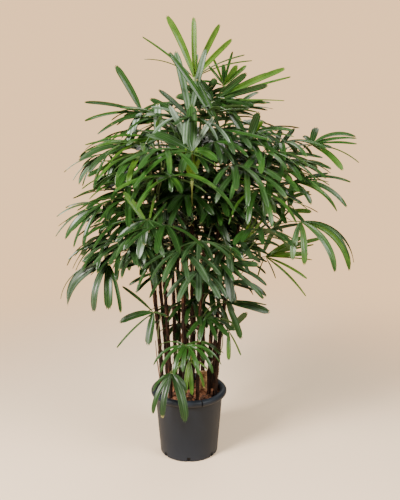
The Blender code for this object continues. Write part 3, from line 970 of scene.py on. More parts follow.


# the tables give millimetres, degrees and hundredths of a tone
# a frond: cane, height of its foot, hub, heading, rise, roll, youth, bloom,
# then its fan (spread, blades, length, droop) or its single blades, for those that show most
# a single blade: heading, rise, length, droop, width, turn about its length, and youth and bloom of its own
# youth is the leaf's age tone and also painted shade, set low for fronds deep in the crown; bloom is a waxy
# bloom and also painted sheen
fronds = {
    1: (7, 1400, (23, 50, 1520), 90, 80, 0, 85, 20,
        (180, 74, 243, 16, 26, -80, 62, 0), (90, 82, 220, 6, 25, 35, 98, 0),
        (0, 68, 213, 8, 23, 108, 85, 0), (0, 49, 196, 8, 21, 106, 85, 0), (0, 36, 205, 24, 13, 25, 30, 0),
        (0, 29, 225, 26, 11, 20, 30, 0), (180, 45, 240, 14, 14, -30, 55, 0),
        (180, 42, 200, 44, 10, -10, 40, 0), (90, 38, 180, 24, 22, 0, 60, 0)),
    2: (10, 1310, (139, 150, 1482), 75, 50, 0, 75, 20,
        (180, 72, 115, 8, 11, -60, 70, 10), (0, 80, 131, 8, 11, 60, 60, 10),
        (0, 62, 90, 10, 23, 100, 75, 0), (180, 57, 93, 10, 12, -60, 60, 10),
        (0, 47, 112, 10, 17, 100, 70, 0), (90, 60, 100, 20, 18, 0, 60, 10),
        (180, 24, 110, 30, 14, -40, 40, 10)),
    3: (8, 1220, (94, -100, 1448), -5, 28, 35, 35, 20,
        (0, 42, 150, 6, 26, 100, 8, 0), (0, 20, 200, 8, 23, 102, 8, 0), (5, 30, 225, 10, 22, 100, 40, 30),
        (6, 28, 278, 8, 21, 90, 75, 10), (4, 21, 288, 8, 12, 40, 55, 20), (0, 4, 255, 8, 9, 20, 75, 0),
        (-10, 2, 145, 14, 19, 40, 12, 10), (-30, -14, 130, 30, 20, 20, 20, 20),
        (180, 62, 78, 12, 28, -80, 5, 0), (190, 40, 95, 14, 26, -70, 10, 0),
        (-70, 30, 90, 40, 24, 0, 15, 10)),
    4: (12, 1200, (118, -180, 1356), 160, 60, 90, 20, 20,
        (180, 60, 318, 8, 22, -80, 34, 0), (180, 68, 190, 8, 17, -60, 30, 20),
        (-5, -8, 172, 6, 14, 40, 35, 10), (-60, -20, 120, 40, 22, 10, 12, 20),
        (200, 30, 160, 30, 20, -30, 25, 20)),
    5: (7, 1280, (9, -100, 1383), 90, 80, 0, 30, 70,
        (180, 81, 240, 6, 28, -80), (0, 80, 250, 6, 23, 80), (190, 50, 150, 14, 21, -60, 15, 40),
        (200, 30, 150, 24, 19, -30), (-60, 40, 130, 30, 21, 20), (180, 18, 160, 30, 18, -20)),
    6: (8, 1140, (17, -230, 1282), -90, 42, 0, 75, 20,
        (90, 84, 160, 4, 38, 0, 22, 0), (0, 62, 140, 8, 20, 60, 35, 80), (180, 68, 175, 8, 25, -60, 35, 80),
        (180, 36, 150, 20, 27, -60, 25, 10), (180, 30, 170, 20, 18, -60, 35, 60),
        (200, 18, 270, 52, 24, -10, 50, 40), (215, 12, 250, 50, 21, -10, 45, 30),
        (225, 10, 290, 60, 21, 0, 50, 20), (250, 0, 130, 50, 30, 0, 45, 40),
        (-40, 16, 112, 56, 34, 15, 42, 30), (-50, -10, 110, 50, 21, 0, 15, 10),
        (-5, 30, 60, 40, 18, 20, 30, 0)),
    7: (3, 1120, (-60, -300, 1205), -95, 10, 0, 50, 20,
        (215, -10, 170, 55, 29, 0), (-50, -12, 78, 50, 28, 0), (-25, 15, 280, 75, 23, 10),
        (-35, 20, 200, 50, 23, 10), (195, 10, 200, 45, 22, -10), (-80, -20, 60, 60, 18, 0, 15, 20)),
    8: (4, 1250, (-169, -50, 1400), 165, 40, 0, 60, 20,
        (180, 66, 190, 10, 26, -80, 28, 0), (180, 20, 213, 20, 15, -50, 15, 10),
        (183, 7, 213, 30, 14, -50, 25, 10), (195, -10, 180, 28, 16, -40, 15, 10),
        (255, 0, 120, 60, 24, 0, 30, 100), (235, -20, 130, 60, 22, -10, 30, 90),
        (20, 20, 150, 50, 18, 20, 35, 20), (150, 10, 140, 50, 18, 0, 30, 10)),
    9: (2, 1040, (-305, 20, 1235), 190, -4, 10, 55, 20,
        (185, 0, 185, 44, 10, -20, 50, 0), (190, -10, 170, 50, 12, -20, 30, 20),
        (195, -14, 165, 60, 26, -40, 20, 70), (202, -20, 160, 56, 11, -20, 25, 20),
        (215, -45, 150, 36, 19, -10, 15, 20), (-60, -20, 150, 60, 20, 0, 30, 20),
        (150, 0, 150, 54, 20, 0, 35, 10), (10, 10, 120, 50, 20, 20, 40, 10)),
    10: (3, 1140, (-160, -130, 1255), 205, 12, 0, 60, 20, 100, 6, 215, 66),
    11: (1, 960, (-318, -110, 1066), 195, 0, 0, 50, 20,
        (175, 14, 140, 40, 11, -20, 35, 10), (182, 10, 180, 50, 12, -20, 45, 10),
        (190, -8, 215, 50, 13, -20, 35, 20), (197, -16, 190, 48, 27, -40, 20, 40),
        (205, -28, 195, 48, 17, -20, 30, 20), (222, -34, 175, 46, 19, -10, 20, 20),
        (-70, -20, 140, 50, 20, 0, 20, 20), (20, 10, 120, 60, 19, 0, 30, 10)),
    12: (2, 920, (-340, 130, 990), 165, 5, 0, 35, 20, 110, 5, 190, 55),
    13: (1, 800, (-304, -100, 835), 190, -12, 0, 35, 70,
        (193, -2, 244, 86, 44, -60, 12, 60), (247, -12, 210, 84, 28, -20, 14, 50),
        (273, -35, 180, 48, 34, 0, 24, 30), (-66, -28, 205, 54, 16, 0, 30, 20),
        (184, 6, 252, 86, 11, -20, 20, 10), (150, -6, 190, 60, 23, 0, 15, 20)),
    14: (1, 880, (-300, -30, 925), 178, -2, 0, 20, 40, 120, 5, 200, 70),
    15: (6, 900, (-145, -250, 1040), 235, -5, 0, 12, 20,
        (188, -15, 135, 40, 26, -30, 10, 50), (184, 6, 170, 36, 15, -20, 12, 20),
        (-95, -25, 100, 50, 24, 0, 10, 20), (-30, -8, 140, 44, 20, 20, 8, 20),
        (-62, -15, 130, 46, 22, 0, 6, 30), (215, -20, 140, 50, 20, -10, 15, 20)),
    16: (14, 940, (470, 0, 1273), 5, 18, -20, 40, 20,
        (110, 40, 70, 40, 18, -30, 20, 10), (70, 50, 95, 30, 29, 0, 10, 10),
        (8, 40, 178, 62, 24, 30, 30, 30), (0, 23, 168, 30, 21, 25, 45, 30),
        (-8, 13, 165, 22, 18, 20, 45, 20), (-16, 2, 190, 40, 11, 20, 35, 10),
        (-42, -10, 160, 40, 28, 30, 65, 20), (200, 10, 90, 40, 20, 0, 25, 20),
        (-30, 10, 80, 30, 24, 20, 10, 0)),
    17: (14, 880, (395, -20, 1134), -5, 14, 0, 50, 30,
        (0, 22, 226, 44, 14, 50, 30, 30), (5, 20, 140, 14, 15, 30, 20, 50),
        (-8, 10, 238, 66, 20, 55, 45, 30), (-14, 2, 212, 66, 21, 40, 55, 30),
        (-25, -22, 112, 46, 23, 30, 50, 20), (12, 12, 150, 30, 12, 20, 30, 10),
        (200, 0, 120, 40, 19, -20, 25, 20), (-95, -12, 120, 50, 21, 0, 45, 30),
        (150, 12, 120, 30, 18, 0, 20, 10)),
    18: (14, 800, (423, -110, 1000), -15, -2, 0, 45, 20,
        (-2, 6, 285, 88, 13, 60, 5, 10), (-10, -2, 282, 84, 26, 75, 60, 20),
        (-35, -14, 238, 70, 27, 45, 50, 40), (-82, -30, 172, 55, 25, 0, 55, 40),
        (-112, -25, 158, 58, 24, 0, 50, 60), (-20, 10, 250, 90, 13, 60, 20, 30)),
    19: (14, 680, (301, -10, 835), 0, 5, -25, 45, 20,
        (0, 26, 225, 16, 18, 100, 60, 0), (-5, 36, 170, 14, 19, 60, 65, 10), (0, 8, 165, 10, 21, 50, 85, 0),
        (-10, -16, 180, 20, 16, 30, 80, 0), (-10, -32, 220, 22, 14, 30, 70, 0),
        (0, 0, 180, 8, 10, 20, 70, 0), (-30, -50, 90, 20, 10, 0, 40, 0), (200, -60, 80, 20, 10, 0, 40, 0),
        (0, 18, 190, 6, 10, 40, 75, 0)),
    20: (13, 1120, (345, 170, 1210), 35, 18, 0, 45, 20,
        (0, 8, 190, 24, 20, 40), (0, 60, 125, 14, 21, 60, 20, 10), (40, 78, 100, 10, 22, 40, 20, 10),
        (180, 66, 110, 20, 24, -60, 25, 10), (-10, 2, 170, 30, 20, 30), (30, 26, 190, 40, 20, 0),
        (70, 20, 180, 44, 20, 0)),
    21: (13, 920, (300, 180, 985), 35, 10, 0, 50, 20,
        (0, 26, 200, 10, 17, 90, 35, 0), (0, 33, 185, 10, 13, 90, 65, 0), (0, 39, 170, 10, 11, 90, 50, 0),
        (0, 64, 140, 10, 14, 100, 70, 0), (60, 20, 180, 40, 22, 0, 30, 10),
        (180, 46, 120, 20, 18, -60, 20, 10)),
    22: (12, 1020, (255, -170, 1130), -60, 5, 0, 50, 20, 160, 6, 200, 62),
    23: (12, 1120, (205, 20, 1300), -10, 30, 0, 35, 20, 130, 6, 215, 46),
    24: (9, 1160, (220, 240, 1320), 65, 20, 0, 40, 20, 140, 6, 180, 50),
    25: (6, 820, (-20, -290, 935), -100, -6, 0, 10, 40, 150, 6, 180, 48),
    26: (11, 780, (40, -300, 865), -88, -6, 0, 10, 50, 110, 5, 170, 46),
    27: (11, 840, (135, -200, 850), -45, -10, 0, 40, 30,
        (-12, 2, 172, 46, 17, 40, 10, 20), (-5, 16, 125, 26, 24, 60, 6, 10),
        (-20, -20, 185, 30, 18, 40, 10, 20), (-72, -30, 140, 40, 33, 0, 20, 60),
        (200, -10, 140, 50, 24, -10, 15, 30), (-110, -20, 130, 50, 24, 0, 15, 40)),
    28: (11, 620, (144, -160, 700), -20, -2, 0, 25, 20,
        (-8, -4, 165, 18, 30, 60, 22, 20), (-25, -60, 148, 10, 33, 20, 25, 20),
        (-10, 8, 150, 20, 13, 20, 15, 10), (200, -20, 110, 30, 20, 0, 20, 10),
        (160, 30, 100, 30, 20, 0, 15, 10)),
    29: (1, 520, (-135, -100, 635), 195, -8, 0, 40, 20,
        (180, 48, 155, 12, 14, -40, 25, 10), (185, 2, 132, 34, 28, -50, 20, 10),
        (190, -34, 195, 18, 13, -20, 35, 20), (252, -56, 122, 14, 33, 0, 25, 20),
        (-30, 10, 60, 30, 16, 0, 20, 10)),
    30: (14, 460, (158, -60, 545), -20, -15, 0, 35, 20,
        (0, 50, 100, 8, 27, 100, 30, 0), (180, 78, 85, 8, 24, -80, 12, 0),
        (-90, -60, 110, 10, 18, 0, 60, 0), (-20, -56, 105, 10, 18, 0, 60, 0),
        (180, 20, 60, 20, 14, -20, 40, 0), (20, 10, 50, 30, 14, 20, 40, 0)),
    31: (6, 470, (-8, -190, 532), -90, 8, 0, 40, 20,
        (195, 12, 150, 80, 17, -20), (215, 8, 150, 84, 19, -10), (245, 4, 140, 80, 19, 0),
        (-95, 0, 120, 70, 18, 0), (-65, 6, 140, 80, 18, 0), (-35, 10, 160, 84, 18, 10),
        (-10, 14, 160, 80, 17, 20), (150, 20, 120, 60, 16, 0), (30, 20, 120, 60, 16, 0)),
    32: (3, 360, (-64, -150, 404), -100, 6, 0, 55, 20,
        (222, -28, 174, 56, 21, -20, 10, 25), (245, -34, 175, 50, 26, -10, 12, 25),
        (-60, -30, 195, 52, 37, 0, 10, 30), (-30, -20, 90, 50, 20, 20, 20, 20),
        (200, -10, 100, 60, 18, -20, 20, 20)),
    33: (3, 860, (-130, -220, 880), -110, -14, 0, 12, 20,
        (182, -8, 118, 12, 17, -50, 6, 10), (212, -48, 120, 20, 18, -10, 8, 20),
        (-80, -40, 100, 30, 26, 0, 10, 30), (-35, -30, 110, 40, 22, 10, 8, 30),
        (185, 24, 90, 40, 20, -30, 10, 20), (-10, 0, 100, 50, 20, 20, 10, 20)),
    34: (5, 1100, (-150, 330, 1220), 110, 20, 0, 25, 20, 150, 6, 220, 50),
    35: (9, 1020, (80, 380, 1090), 80, 12, 0, 15, 20, 150, 6, 215, 55),
    36: (5, 900, (-130, 350, 940), 115, 0, 0, 15, 20, 150, 6, 210, 60),
    37: (9, 840, (190, 340, 880), 60, -5, 0, 15, 20,
        (0, 10, 150, 50, 10, 60, 12, 0), (-10, -8, 150, 50, 9, 60, 12, 0), (60, 20, 180, 40, 20, 0, 15, 20),
        (100, 20, 180, 44, 20, 0, 15, 20), (140, 10, 160, 50, 20, 0, 15, 20),
        (30, 24, 150, 50, 18, 20, 15, 20)),
    38: (2, 720, (-240, 220, 780), 140, -6, 0, 15, 20, 140, 6, 200, 58),
    39: (13, 660, (215, 210, 760), 60, 0, 0, 20, 20,
        (0, 16, 110, 40, 9, 60, 10, 0), (-10, -6, 120, 44, 10, 60, 10, 0), (30, 30, 120, 40, 18, 0, 15, 10),
        (80, 30, 130, 50, 20, 0, 20, 10), (130, 20, 120, 50, 20, 0, 20, 10)),
}

for number, row in fronds.items():
    name = "frond_%02d" % number
    buildFoliage(name + "_fine", [tableRow(*row)], (name,), 100 + number)
print("fronds ready")

# the crown's inner fronds, which have no roll in their rows
# those that stand in front
frontFronds = (
    (12, 780, (200, -60, 880), 30, 40, 30, 0,
        (0, 42, 250, 38, 16, 100, 12, 10), (0, 24, 115, 30, 8, 60, 10, 0), (-5, 8, 120, 40, 8, 60, 10, 0),
        (0, -8, 110, 40, 8, 60, 10, 0), (0, 74, 140, 6, 10, 100, 80, 0), (0, 65, 155, 6, 10, 100, 60, 0),
        (0, 57, 155, 8, 11, 100, 85, 0), (0, 49, 150, 8, 10, 100, 60, 0), (180, 30, 70, 30, 16, -40, 8, 10)),
    (8, 1020, (17, -240, 1176), 90, 80, 80, 0,
        (180, 72, 120, 4, 13, -80, 95, 0), (180, 81, 118, 4, 12, -80, 85, 0),
        (0, 84, 120, 4, 13, 100, 95, 0), (0, 74, 118, 4, 13, 100, 80, 0)),
    (3, 1120, (-110, -120, 1310), -100, 40, 50, 20,
        (90, 80, 125, 6, 29, 0, 30, 100), (180, 18, 240, 44, 18, -20, 56, 20),
        (190, 10, 200, 50, 17, -20, 52, 20), (200, 4, 220, 60, 21, -10, 55, 20),
        (250, 8, 180, 60, 21, 0, 40, 60), (-60, 14, 170, 50, 22, 10, 30, 30)),
    (12, 1120, (225, -100, 1300), -60, 40, 30, 10,
        (180, 60, 155, 8, 28, -82, 10, 0), (0, 76, 108, 8, 31, 100, 15, 0),
        (0, 44, 160, 60, 13, 20, 30, 20), (5, 30, 170, 50, 13, 20, 30, 20),
        (-25, 0, 150, 50, 23, 20, 40, 20), (-70, 0, 150, 60, 24, 10, 35, 30),
        (30, 60, 90, 20, 22, 40, 75, 0)),
    (4, 1160, (-15, -80, 1360), -100, 50, 35, 30,
        (180, 52, 150, 30, 24, -70, 25, 20), (180, 20, 170, 40, 20, -40, 30, 20),
        (200, 40, 140, 50, 20, -40, 30, 40), (250, 0, 90, 60, 22, 0, 15, 30),
        (-70, 10, 110, 66, 21, 10, 20, 30), (-20, 30, 140, 40, 20, 30, 30, 20)),
    (3, 920, (-142, -240, 1010), -100, 20, 50, 20,
        (170, 60, 148, 10, 22, -60, 60, 30), (200, -10, 160, 60, 30, -20, 20, 40),
        (30, 50, 110, 10, 12, 40, 65, 0), (60, 70, 120, 10, 10, 0, 68, 0),
        (-110, -20, 130, 50, 28, 0, 20, 50), (-60, -14, 140, 50, 22, 0, 30, 30)),
    (3, 840, (-164, -200, 929), -110, 4, 20, 30,
        (196, -10, 130, 70, 28, -20, 15, 50), (212, -20, 145, 60, 30, -10, 12, 40),
        (-95, -14, 95, 60, 38, 0, 18, 40), (-55, -10, 130, 60, 28, 0, 15, 30),
        (176, 6, 140, 60, 22, -20, 15, 10), (-20, 4, 120, 60, 24, 0, 15, 20)),
    (13, 980, (276, -120, 1125), -70, 6, 50, 20,
        (-85, -30, 110, 50, 20, 0, 60, 50), (-40, -30, 100, 50, 24, 10, 50, 30),
        (-10, 10, 180, 30, 12, 30, 20, 10), (0, -8, 150, 20, 14, 30, 15, 10),
        (180, 30, 110, 30, 20, -30, 60, 20), (215, -20, 110, 50, 20, -20, 50, 30)),
)

# those that fill the crown; many get a low youth, which darkens them as painted shade of the crown's inside
fillFronds = (
    (8, 1160, (10, -120, 1385), -95, 20, 35, 80, 120, 5, 240, 60),
    (3, 1060, (-170, -150, 1295), -120, 25, 60, 20, 130, 6, 210, 42),
    (3, 1100, (-80, -200, 1285), -100, 15, 45, 30, 140, 6, 220, 44),
    (8, 1180, (95, -200, 1312), -60, 22, 35, 10,
        (-12, 8, 135, 60, 21, 30, 45, 10), (-72, -12, 110, 50, 20, 0, 10, 20),
        (-35, -20, 110, 40, 20, 10, 8, 20), (20, 20, 120, 40, 18, 40, 15, 10),
        (215, -12, 100, 50, 20, -20, 10, 20)),
    (12, 1100, (160, -180, 1225), -45, 12, 22, 30, 140, 6, 210, 46),
    (6, 980, (75, -80, 1165), -85, 12, 4, 10, 150, 6, 190, 42),
    (6, 960, (-10, -100, 1100), -95, 12, 4, 10, 140, 6, 190, 46),
    (12, 980, (120, -100, 1075), -70, 12, 6, 10, 150, 6, 180, 44),
    (6, 840, (45, -250, 960), -80, 8, 8, 40, 150, 6, 150, 44),
    (3, 980, (-80, -250, 1020), -115, 8, 10, 20, 150, 6, 200, 44),
    (12, 900, (140, -180, 925), -95, 4, 8, 30,
        (-112, -10, 120, 50, 24, 0), (-78, -14, 130, 50, 26, 0), (215, -5, 130, 50, 20, -20),
        (-40, 0, 90, 50, 18, 10)),
    (3, 1020, (-220, -150, 1090), 200, 16, 28, 20, 140, 6, 200, 48),
    (1, 900, (-245, -120, 1000), 195, 8, 18, 20, 150, 6, 190, 46),
    (1, 820, (-215, -140, 935), 210, 4, 14, 40, 140, 6, 200, 44),
    (2, 1000, (-215, -80, 1150), 200, 8, 45, 10, 140, 6, 170, 56),
    (4, 1220, (-110, -80, 1385), 160, 14, 12, 20, 130, 6, 190, 44),
    (4, 1240, (-50, 20, 1425), 140, 14, 35, 30, 130, 6, 150, 52),
    (8, 1200, (65, -120, 1390), -60, 35, 15, 10, 120, 6, 220, 40),
    (10, 1280, (170, 30, 1390), 70, 40, 35, 30, 110, 6, 170, 40),
    (12, 1180, (235, 30, 1315), 0, 12, 40, 30, 130, 6, 170, 56),
    (14, 950, (310, -60, 1185), -20, 8, 45, 30, 140, 6, 220, 46),
    (13, 1020, (365, -20, 1120), 20, 20, 40, 10,
        (-95, -50, 115, 24, 20, 0, 60, 20), (-50, -56, 80, 20, 22, 0, 4, 20),
        (10, 20, 120, 40, 16, 40, 20, 10), (190, 10, 110, 50, 18, -20, 30, 20)),
    (14, 840, (388, 0, 1014), 60, 20, 50, 0,
        (190, -46, 178, 26, 19, -75, 45, 40), (-5, 10, 85, 20, 18, 80, 70, 0),
        (180, 20, 90, 30, 14, -60, 30, 10)),
    (11, 800, (100, -200, 880), -75, 0, 10, 30, 110, 6, 140, 46),
    (8, 800, (35, -100, 925), -90, 12, 8, 20, 150, 6, 190, 42),
    (6, 760, (-50, -180, 830), -110, 4, 12, 30, 130, 6, 180, 42),
    (11, 700, (65, -100, 800), -70, 0, 6, 20, 130, 6, 150, 42),
    (8, 420, (3, -120, 450), -80, 10, 75, 0,
        (-102, -50, 130, 28, 19, 0), (-78, -50, 135, 28, 17, 0), (-35, -30, 125, 50, 16, 0),
        (200, -20, 85, 50, 14, 0), (222, 10, 60, 50, 17, 0), (-20, 0, 80, 50, 12, 0)),
    (1, 760, (-262, -50, 872), 195, 4, 10, 30, 140, 7, 175, 50),
    (1, 800, (-300, -60, 915), 190, 0, 12, 30, 120, 7, 175, 60),
    (5, 1080, (-35, 180, 1265), 110, 35, 30, 20, 140, 6, 220, 34),
    (7, 1240, (45, 100, 1240), 90, 25, 20, 20, 150, 6, 220, 38),
    (10, 1200, (145, 220, 1240), 60, 35, 50, 20, 140, 6, 220, 34),
    (5, 1020, (-115, 200, 1120), 130, 10, 20, 20, 150, 6, 210, 42),
    (5, 980, (5, 250, 1050), 95, 10, 15, 20, 150, 6, 210, 42),
    (9, 1100, (130, 250, 1050), 70, 10, 15, 20, 150, 6, 210, 42),
    (13, 1080, (245, 150, 1110), 40, 12, 30, 20, 150, 6, 210, 42),
    (2, 980, (-175, 100, 1060), 150, 8, 20, 20, 150, 6, 200, 44),
    (5, 880, (-80, 220, 910), 110, 8, 12, 20, 150, 6, 200, 42),
    (9, 940, (65, 280, 895), 85, 8, 12, 20, 150, 6, 200, 42),
    (13, 860, (190, 200, 980), 45, 12, 15, 20, 150, 6, 200, 42),
    (2, 800, (-160, 150, 840), 140, 4, 12, 20, 150, 6, 190, 42),
    (5, 760, (-20, 240, 795), 100, 0, 10, 20, 150, 6, 190, 42),
    (9, 780, (130, 260, 790), 120, 0, 10, 20, 110, 5, 170, 42),
    (11, 700, (150, -140, 770), -20, 0, 15, 10,
        (-4, 12, 160, 64, 20, 60), (-2, -12, 100, 10, 11, 60), (8, 10, 120, 80, 10, 60),
        (-60, -30, 80, 40, 24, 0), (180, -20, 60, 40, 20, -20)),
    (13, 980, (290, 50, 1050), 10, 8, 25, 20, 150, 6, 210, 44),
    (2, 1080, (-210, 120, 1175), 150, 20, 35, 20, 150, 6, 210, 42),
    (13, 1120, (385, 80, 1190), 10, 12, 50, 20, 140, 6, 175, 46),
    (13, 1100, (350, -20, 1285), -30, 20, 35, 30, 170, 7, 170, 60),
    (4, 1060, (-30, -50, 1205), -90, 16, 12, 20, 150, 6, 200, 42),
    (12, 1060, (105, -20, 1180), -60, 16, 12, 20, 150, 6, 200, 42),
    (3, 960, (-105, -80, 1055), 230, 12, 12, 20, 150, 6, 200, 42),
    (2, 1060, (-175, 50, 1320), 170, 10, 50, 20, 120, 6, 145, 54),
    (12, 1140, (275, -100, 1260), -40, 14, 45, 30, 150, 7, 190, 44),
    (13, 1100, (360, -40, 1220), -20, 8, 35, 30, 160, 7, 190, 44),
    (8, 1220, (70, -20, 1460), -90, 50, 15, 10, 170, 6, 110, 20),
    (10, 1300, (130, -20, 1400), -60, 40, 25, 20, 160, 7, 170, 40),
    (8, 620, (15, -20, 660), -90, 0, 10, 20, 150, 6, 140, 44),
    (6, 600, (70, -100, 615), -60, 0, 20, 20, 150, 6, 130, 50),
    (11, 580, (85, 0, 690), -70, -10, 10, 10, 150, 6, 130, 44),
    (8, 460, (30, -40, 490), -80, 10, 30, 10, 160, 7, 120, 60),
    (2, 560, (-68, 60, 610), -100, 0, 8, 10, 160, 7, 110, 40),
    (8, 480, (-44, 60, 530), -80, 0, 10, 10, 160, 6, 90, 40),
    (9, 520, (66, 100, 570), -80, 0, 12, 10, 160, 7, 110, 40),
    (8, 1160, (45, -60, 1430), -90, 60, 5, 10, 170, 6, 95, 24),
    (10, 1180, (145, 20, 1365), -80, 50, 5, 10, 170, 7, 100, 30),
    (7, 1100, (-49, 60, 1205), -100, 20, 10, 10, 160, 7, 150, 40),
    (2, 1020, (-111, 60, 1165), -110, 20, 10, 10, 160, 7, 150, 40),
    (13, 1020, (220, 50, 1205), -60, 20, 6, 10, 170, 7, 160, 36),
    (12, 1040, (110, 0, 1225), -80, 30, 6, 10, 170, 7, 130, 36),
    (13, 940, (205, 60, 1060), -70, 20, 8, 10, 160, 6, 130, 40),
    (4, 1040, (-61, 0, 1222), -100, 30, 6, 10, 160, 6, 120, 36),
)

# painted shade: fronds of broad blades at nearly the darkest tone, put behind the gaps of the crown so that
# the gaps read as shade; each row gives cane, height of the foot, hub
shadeFrondHubs = (
    (4, 1100, (-65, 120, 1196)), (10, 1120, (73, 120, 1204)), (13, 1080, (196, 120, 1204)),
    (13, 1040, (268, 120, 1148)), (10, 1020, (145, 120, 1116)), (13, 940, (219, 140, 1030)),
    (10, 1220, (65, 100, 1298)), (7, 1200, (-91, 100, 1286)), (10, 1310, (91, 50, 1422)),
    (2, 1040, (-192, 120, 1176)), (2, 980, (-265, 120, 1108)), (13, 860, (166, 120, 944)),
)

# those that spiral up each cane
growth = {
    "seed": 53,
    "lowest": 0.76,
    "belowTop": 0.03,
    "step": 0.058,
    "turn": 137.5,
    "turnOfCane": 51.0,
    "span": (0.12, 0.24),
    "lean": (20, 50),
    "middle": (0.03, 0.02),
    "highest": 1.499,
    "reach": ((0.70, 0.14), (0.85, 0.20), (1.05, 0.32), (1.25, 0.28), (1.40, 0.16), (1.50, 0.07)),
    # partly young growth and partly painted light and shade: a spiralling frond's tone is scaled down low on
    # the canes and up at the top, and the choices below are mostly dark tones for the crown's inside
    "youthAndShade": ((0.70, 0.35), (1.10, 0.50), (1.30, 1.00), (1.50, 1.20)),
    "youthAndShadeChoices": (0.05, 0.10, 0.20, 0.35, 0.55),
    "bloomAndSheen": (0.1, 0.4),
    "rise": (0, 30),
    "roll": (-25, 25),
    "spread": (130, 170),
    "blades": (6, 7, 8),
    "length": (0.175, 0.215),
    "droop": (38, 66),
    "front": -0.10,
    "open": 1.15,
    "groups": 6,
}


def shadeFrondRows():
    # painted shade: every blade, and the frond itself, at youth 5, close to the darkest tone
    blades = [(angle, 20, 115, 50, 32, 70 * cos(radians(angle)), 5, 10) for angle in range(0, 360, 40)]
    return [tableRow(cane, foot, hub, 90, 10, 0, 5, 10, *blades) for cane, foot, hub in shadeFrondHubs]


def innerRows():
    spec = growth
    rand = Random(spec["seed"])
    rows = []
    for number, cane in enumerate(canes):
        height, heading = spec["lowest"] + rand.uniform(0.0, spec["step"]), number * spec["turnOfCane"]
        while height < topOf(cane) - spec["belowTop"]:
            heading = (heading + spec["turn"]) % 360
            span, lean = rand.uniform(*spec["span"]), radians(rand.uniform(*spec["lean"]))
            out = outwards(radians(heading))
            hub = canePoint(cane, height) + out * span * cos(lean) + Vector((0, 0, span * sin(lean)))
            middle = Vector((*spec["middle"], hub.z))
            level = min(hub.z, spec["highest"])
            shown = hub.y > spec["front"] or hub.z > spec["open"]
            if shown and (hub - middle).length < fromKnots(spec["reach"], level):
                rise, droop = rand.uniform(*spec["rise"]), rand.uniform(*spec["droop"])
                # painted shade: a darker tone the lower the frond sits
                youthAndShade = rand.choice(spec["youthAndShadeChoices"]) * fromKnots(spec["youthAndShade"], level)
                roll, spread = rand.uniform(*spec["roll"]), rand.uniform(*spec["spread"])
                blades, length = rand.choice(spec["blades"]), rand.uniform(*spec["length"])
                look = (youthAndShade, rand.uniform(*spec["bloomAndSheen"]))
                fan = (spread, blades, length, droop)
                rows.append((cane, height, hub, (heading, rise, roll), look, fan, []))
            height += spec["step"]
    return rows


placed = [tableRow(*row[:5], 0, *row[5:]) for row in frontFronds + fillFronds]
inside = placed + shadeFrondRows() + innerRows()
print("inner fronds", len(inside))
for number in range(growth["groups"]):
    buildFoliage("fill_fronds_%d" % (number + 1), inside[number::growth["groups"]], (), 301 + number)
print("filling fronds ready")


# coir, bark and the dead stalk
mulchShape = {"radius": 0.126, "top": 0.250, "crown": 0.004}

chipShape = {
    "count": 430,
    "margin": 0.012,
    "size": ((0.006, 0.015), (0.004, 0.009), (0.002, 0.0045)),
    "tilt": (0.6, 0.5),
    "lumps": (0.6, 1.15),
    "lift": (-0.001, 0.004),
}

strandShape = {
    "count": 60,
    "margin": 0.016,
    "inwards": 0.96,
    "lift": 0.016,
    "length": (0.015, 0.040),
    "curl": 1.2,
    "arch": (0.005, 0.003),
    "width": (0.0004, 0.0010),
}


def mulchHeight(x, y):
    away = (x * x + y * y) ** 0.5 / mulchShape["radius"]
    return mulchShape["top"] + mulchShape["crown"] * (1.0 - away * away)


def freeSpot(rand, margin):
    # a place on the coir, clear of the canes
    while True:
        away, angle = mulchShape["radius"] * rand.random() ** 0.5, rand.uniform(0.0, 2 * pi)
        x, y = away * cos(angle), away * sin(angle)
        spot = Vector((x, y, mulchHeight(x, y)))
        if all((canePoint(cane, mulchShape["top"]) - spot).length > margin for cane in canes):
            return spot


def buildChips():
    rand = Random(71)
    spec = chipShape
    bm = bmesh.new()
    for number in range(spec["count"]):
        spot = freeSpot(rand, spec["margin"])
        size = Vector([rand.uniform(*limits) for limits in spec["size"]])
        turn = Matrix.Rotation(rand.uniform(0, 2 * pi), 4, "Z")
        for tilt, axis in zip(spec["tilt"], "XY"):
            turn = turn @ Matrix.Rotation(rand.uniform(-tilt, tilt), 4, axis)
        verts = bmesh.ops.create_icosphere(bm, subdivisions=1, radius=1.0)["verts"]
        for vert in verts:
            lumpy = [value * rand.uniform(*spec["lumps"]) for value in vert.co]
            vert.co = Vector([value * stretch for value, stretch in zip(lumpy, size)])
        place = spot + Vector((0, 0, rand.uniform(*spec["lift"])))
        bmesh.ops.transform(bm, matrix=Matrix.Translation(place) @ turn, verts=verts)
    return keepPiece("coir_chips", bm, [coirChip], (), 30)


def buildStrands():
    rand = Random(72)
    spec = strandShape
    high, low = spec["arch"]
    bm = bmesh.new()
    for number in range(spec["count"]):
        spot = freeSpot(rand, spec["margin"]) * spec["inwards"] + Vector((0, 0, spec["lift"]))
        angle, length = rand.uniform(0, 2 * pi), rand.uniform(*spec["length"])
        curl = rand.uniform(-spec["curl"], spec["curl"])
        path = []
        for step in range(6):
            share = step / 5 - 0.5
            arch = high * (1 - 4 * share * share) - low
            path.append(spot + outwards(angle + curl * share) * length * share + Vector((0, 0, arch)))
        sizes = [rand.uniform(*spec["width"])] * 6
        growAlong(bm, pathRings(path, Vector((0, 0, 1)), sizes, sizes), 4)
    bmesh.ops.recalc_face_normals(bm, faces=bm.faces)
    return keepPiece("coir_strands", bm, [strawSkin], (), 60)


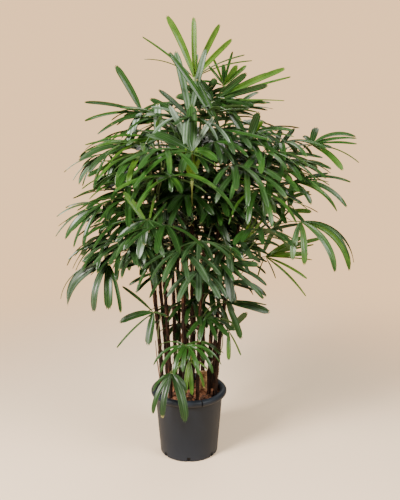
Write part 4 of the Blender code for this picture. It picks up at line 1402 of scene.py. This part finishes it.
blockShape = {
    "size": (0.040, 0.022, 0.085),
    "place": (0.055, 0.030),
    "turn": -6.0,
    "foot": 0.2502,
    "rounding": 0.002,
    "cuts": 7,
    "rough": 0.0016,
    "roughScale": (90, 90, 30),
}


def buildBlock():
    spec = blockShape
    bm = bmesh.new()
    bmesh.ops.create_cube(bm, size=1.0)
    bmesh.ops.scale(bm, vec=spec["size"], verts=bm.verts)
    bmesh.ops.bevel(bm, geom=bm.edges[:], offset=spec["rounding"], segments=2, profile=0.5,
                    affect="EDGES", material=-1)
    bmesh.ops.subdivide_edges(bm, edges=bm.edges[:], cuts=spec["cuts"], use_grid_fill=True)
    x, y, z = spec["roughScale"]
    for vert in bm.verts:
        rough = noise.noise(Vector((vert.co.x * x, vert.co.y * y, vert.co.z * z)))
        vert.co += vert.co.normalized() * rough * spec["rough"]
    place = Vector((*spec["place"], spec["foot"] + spec["size"][2] / 2))
    turn = Matrix.Rotation(radians(spec["turn"]), 4, "Z")
    bmesh.ops.transform(bm, matrix=Matrix.Translation(place) @ turn, verts=bm.verts)
    return keepPiece("bark_chunk", bm, [barkSkin], ("bark_block",), 40)


stubShape = {
    "path": ((-0.110, 0.030, 0.222), (-0.120, 0.031, 0.300), (-0.130, 0.030, 0.380), (-0.136, 0.028, 0.470)),
    "radius": 0.0026,
    "taper": (1.0, 0.95, 0.85, 0.6),
    "sides": 10,
    "cuts": 4,
}


def buildStub():
    spec = stubShape
    bm = bmesh.new()
    path = [Vector(place) for place in spec["path"]]
    sizes = [spec["radius"] * share for share in spec["taper"]]
    growAlong(bm, pathRings(path, Vector((1, 0, 0)), sizes, sizes), spec["sides"])
    upright = [edge for edge in bm.edges if abs(edge.verts[0].co.z - edge.verts[1].co.z) > 0.02]
    bmesh.ops.subdivide_edges(bm, edges=upright, cuts=spec["cuts"])
    bmesh.ops.recalc_face_normals(bm, faces=bm.faces)
    return keepPiece("dead_stalk", bm, [strawSkin], ("dead_petiole",), 60)


buildChips()
buildStrands()
buildBlock()
buildStub()
print("pot filling ready")


# finishes for the solids that stay
for node, finish in (("root_ball", rootSoil), ("coir_mulch", coirGround)):
    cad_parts[node].data.materials.clear()
    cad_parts[node].data.materials.append(finish)
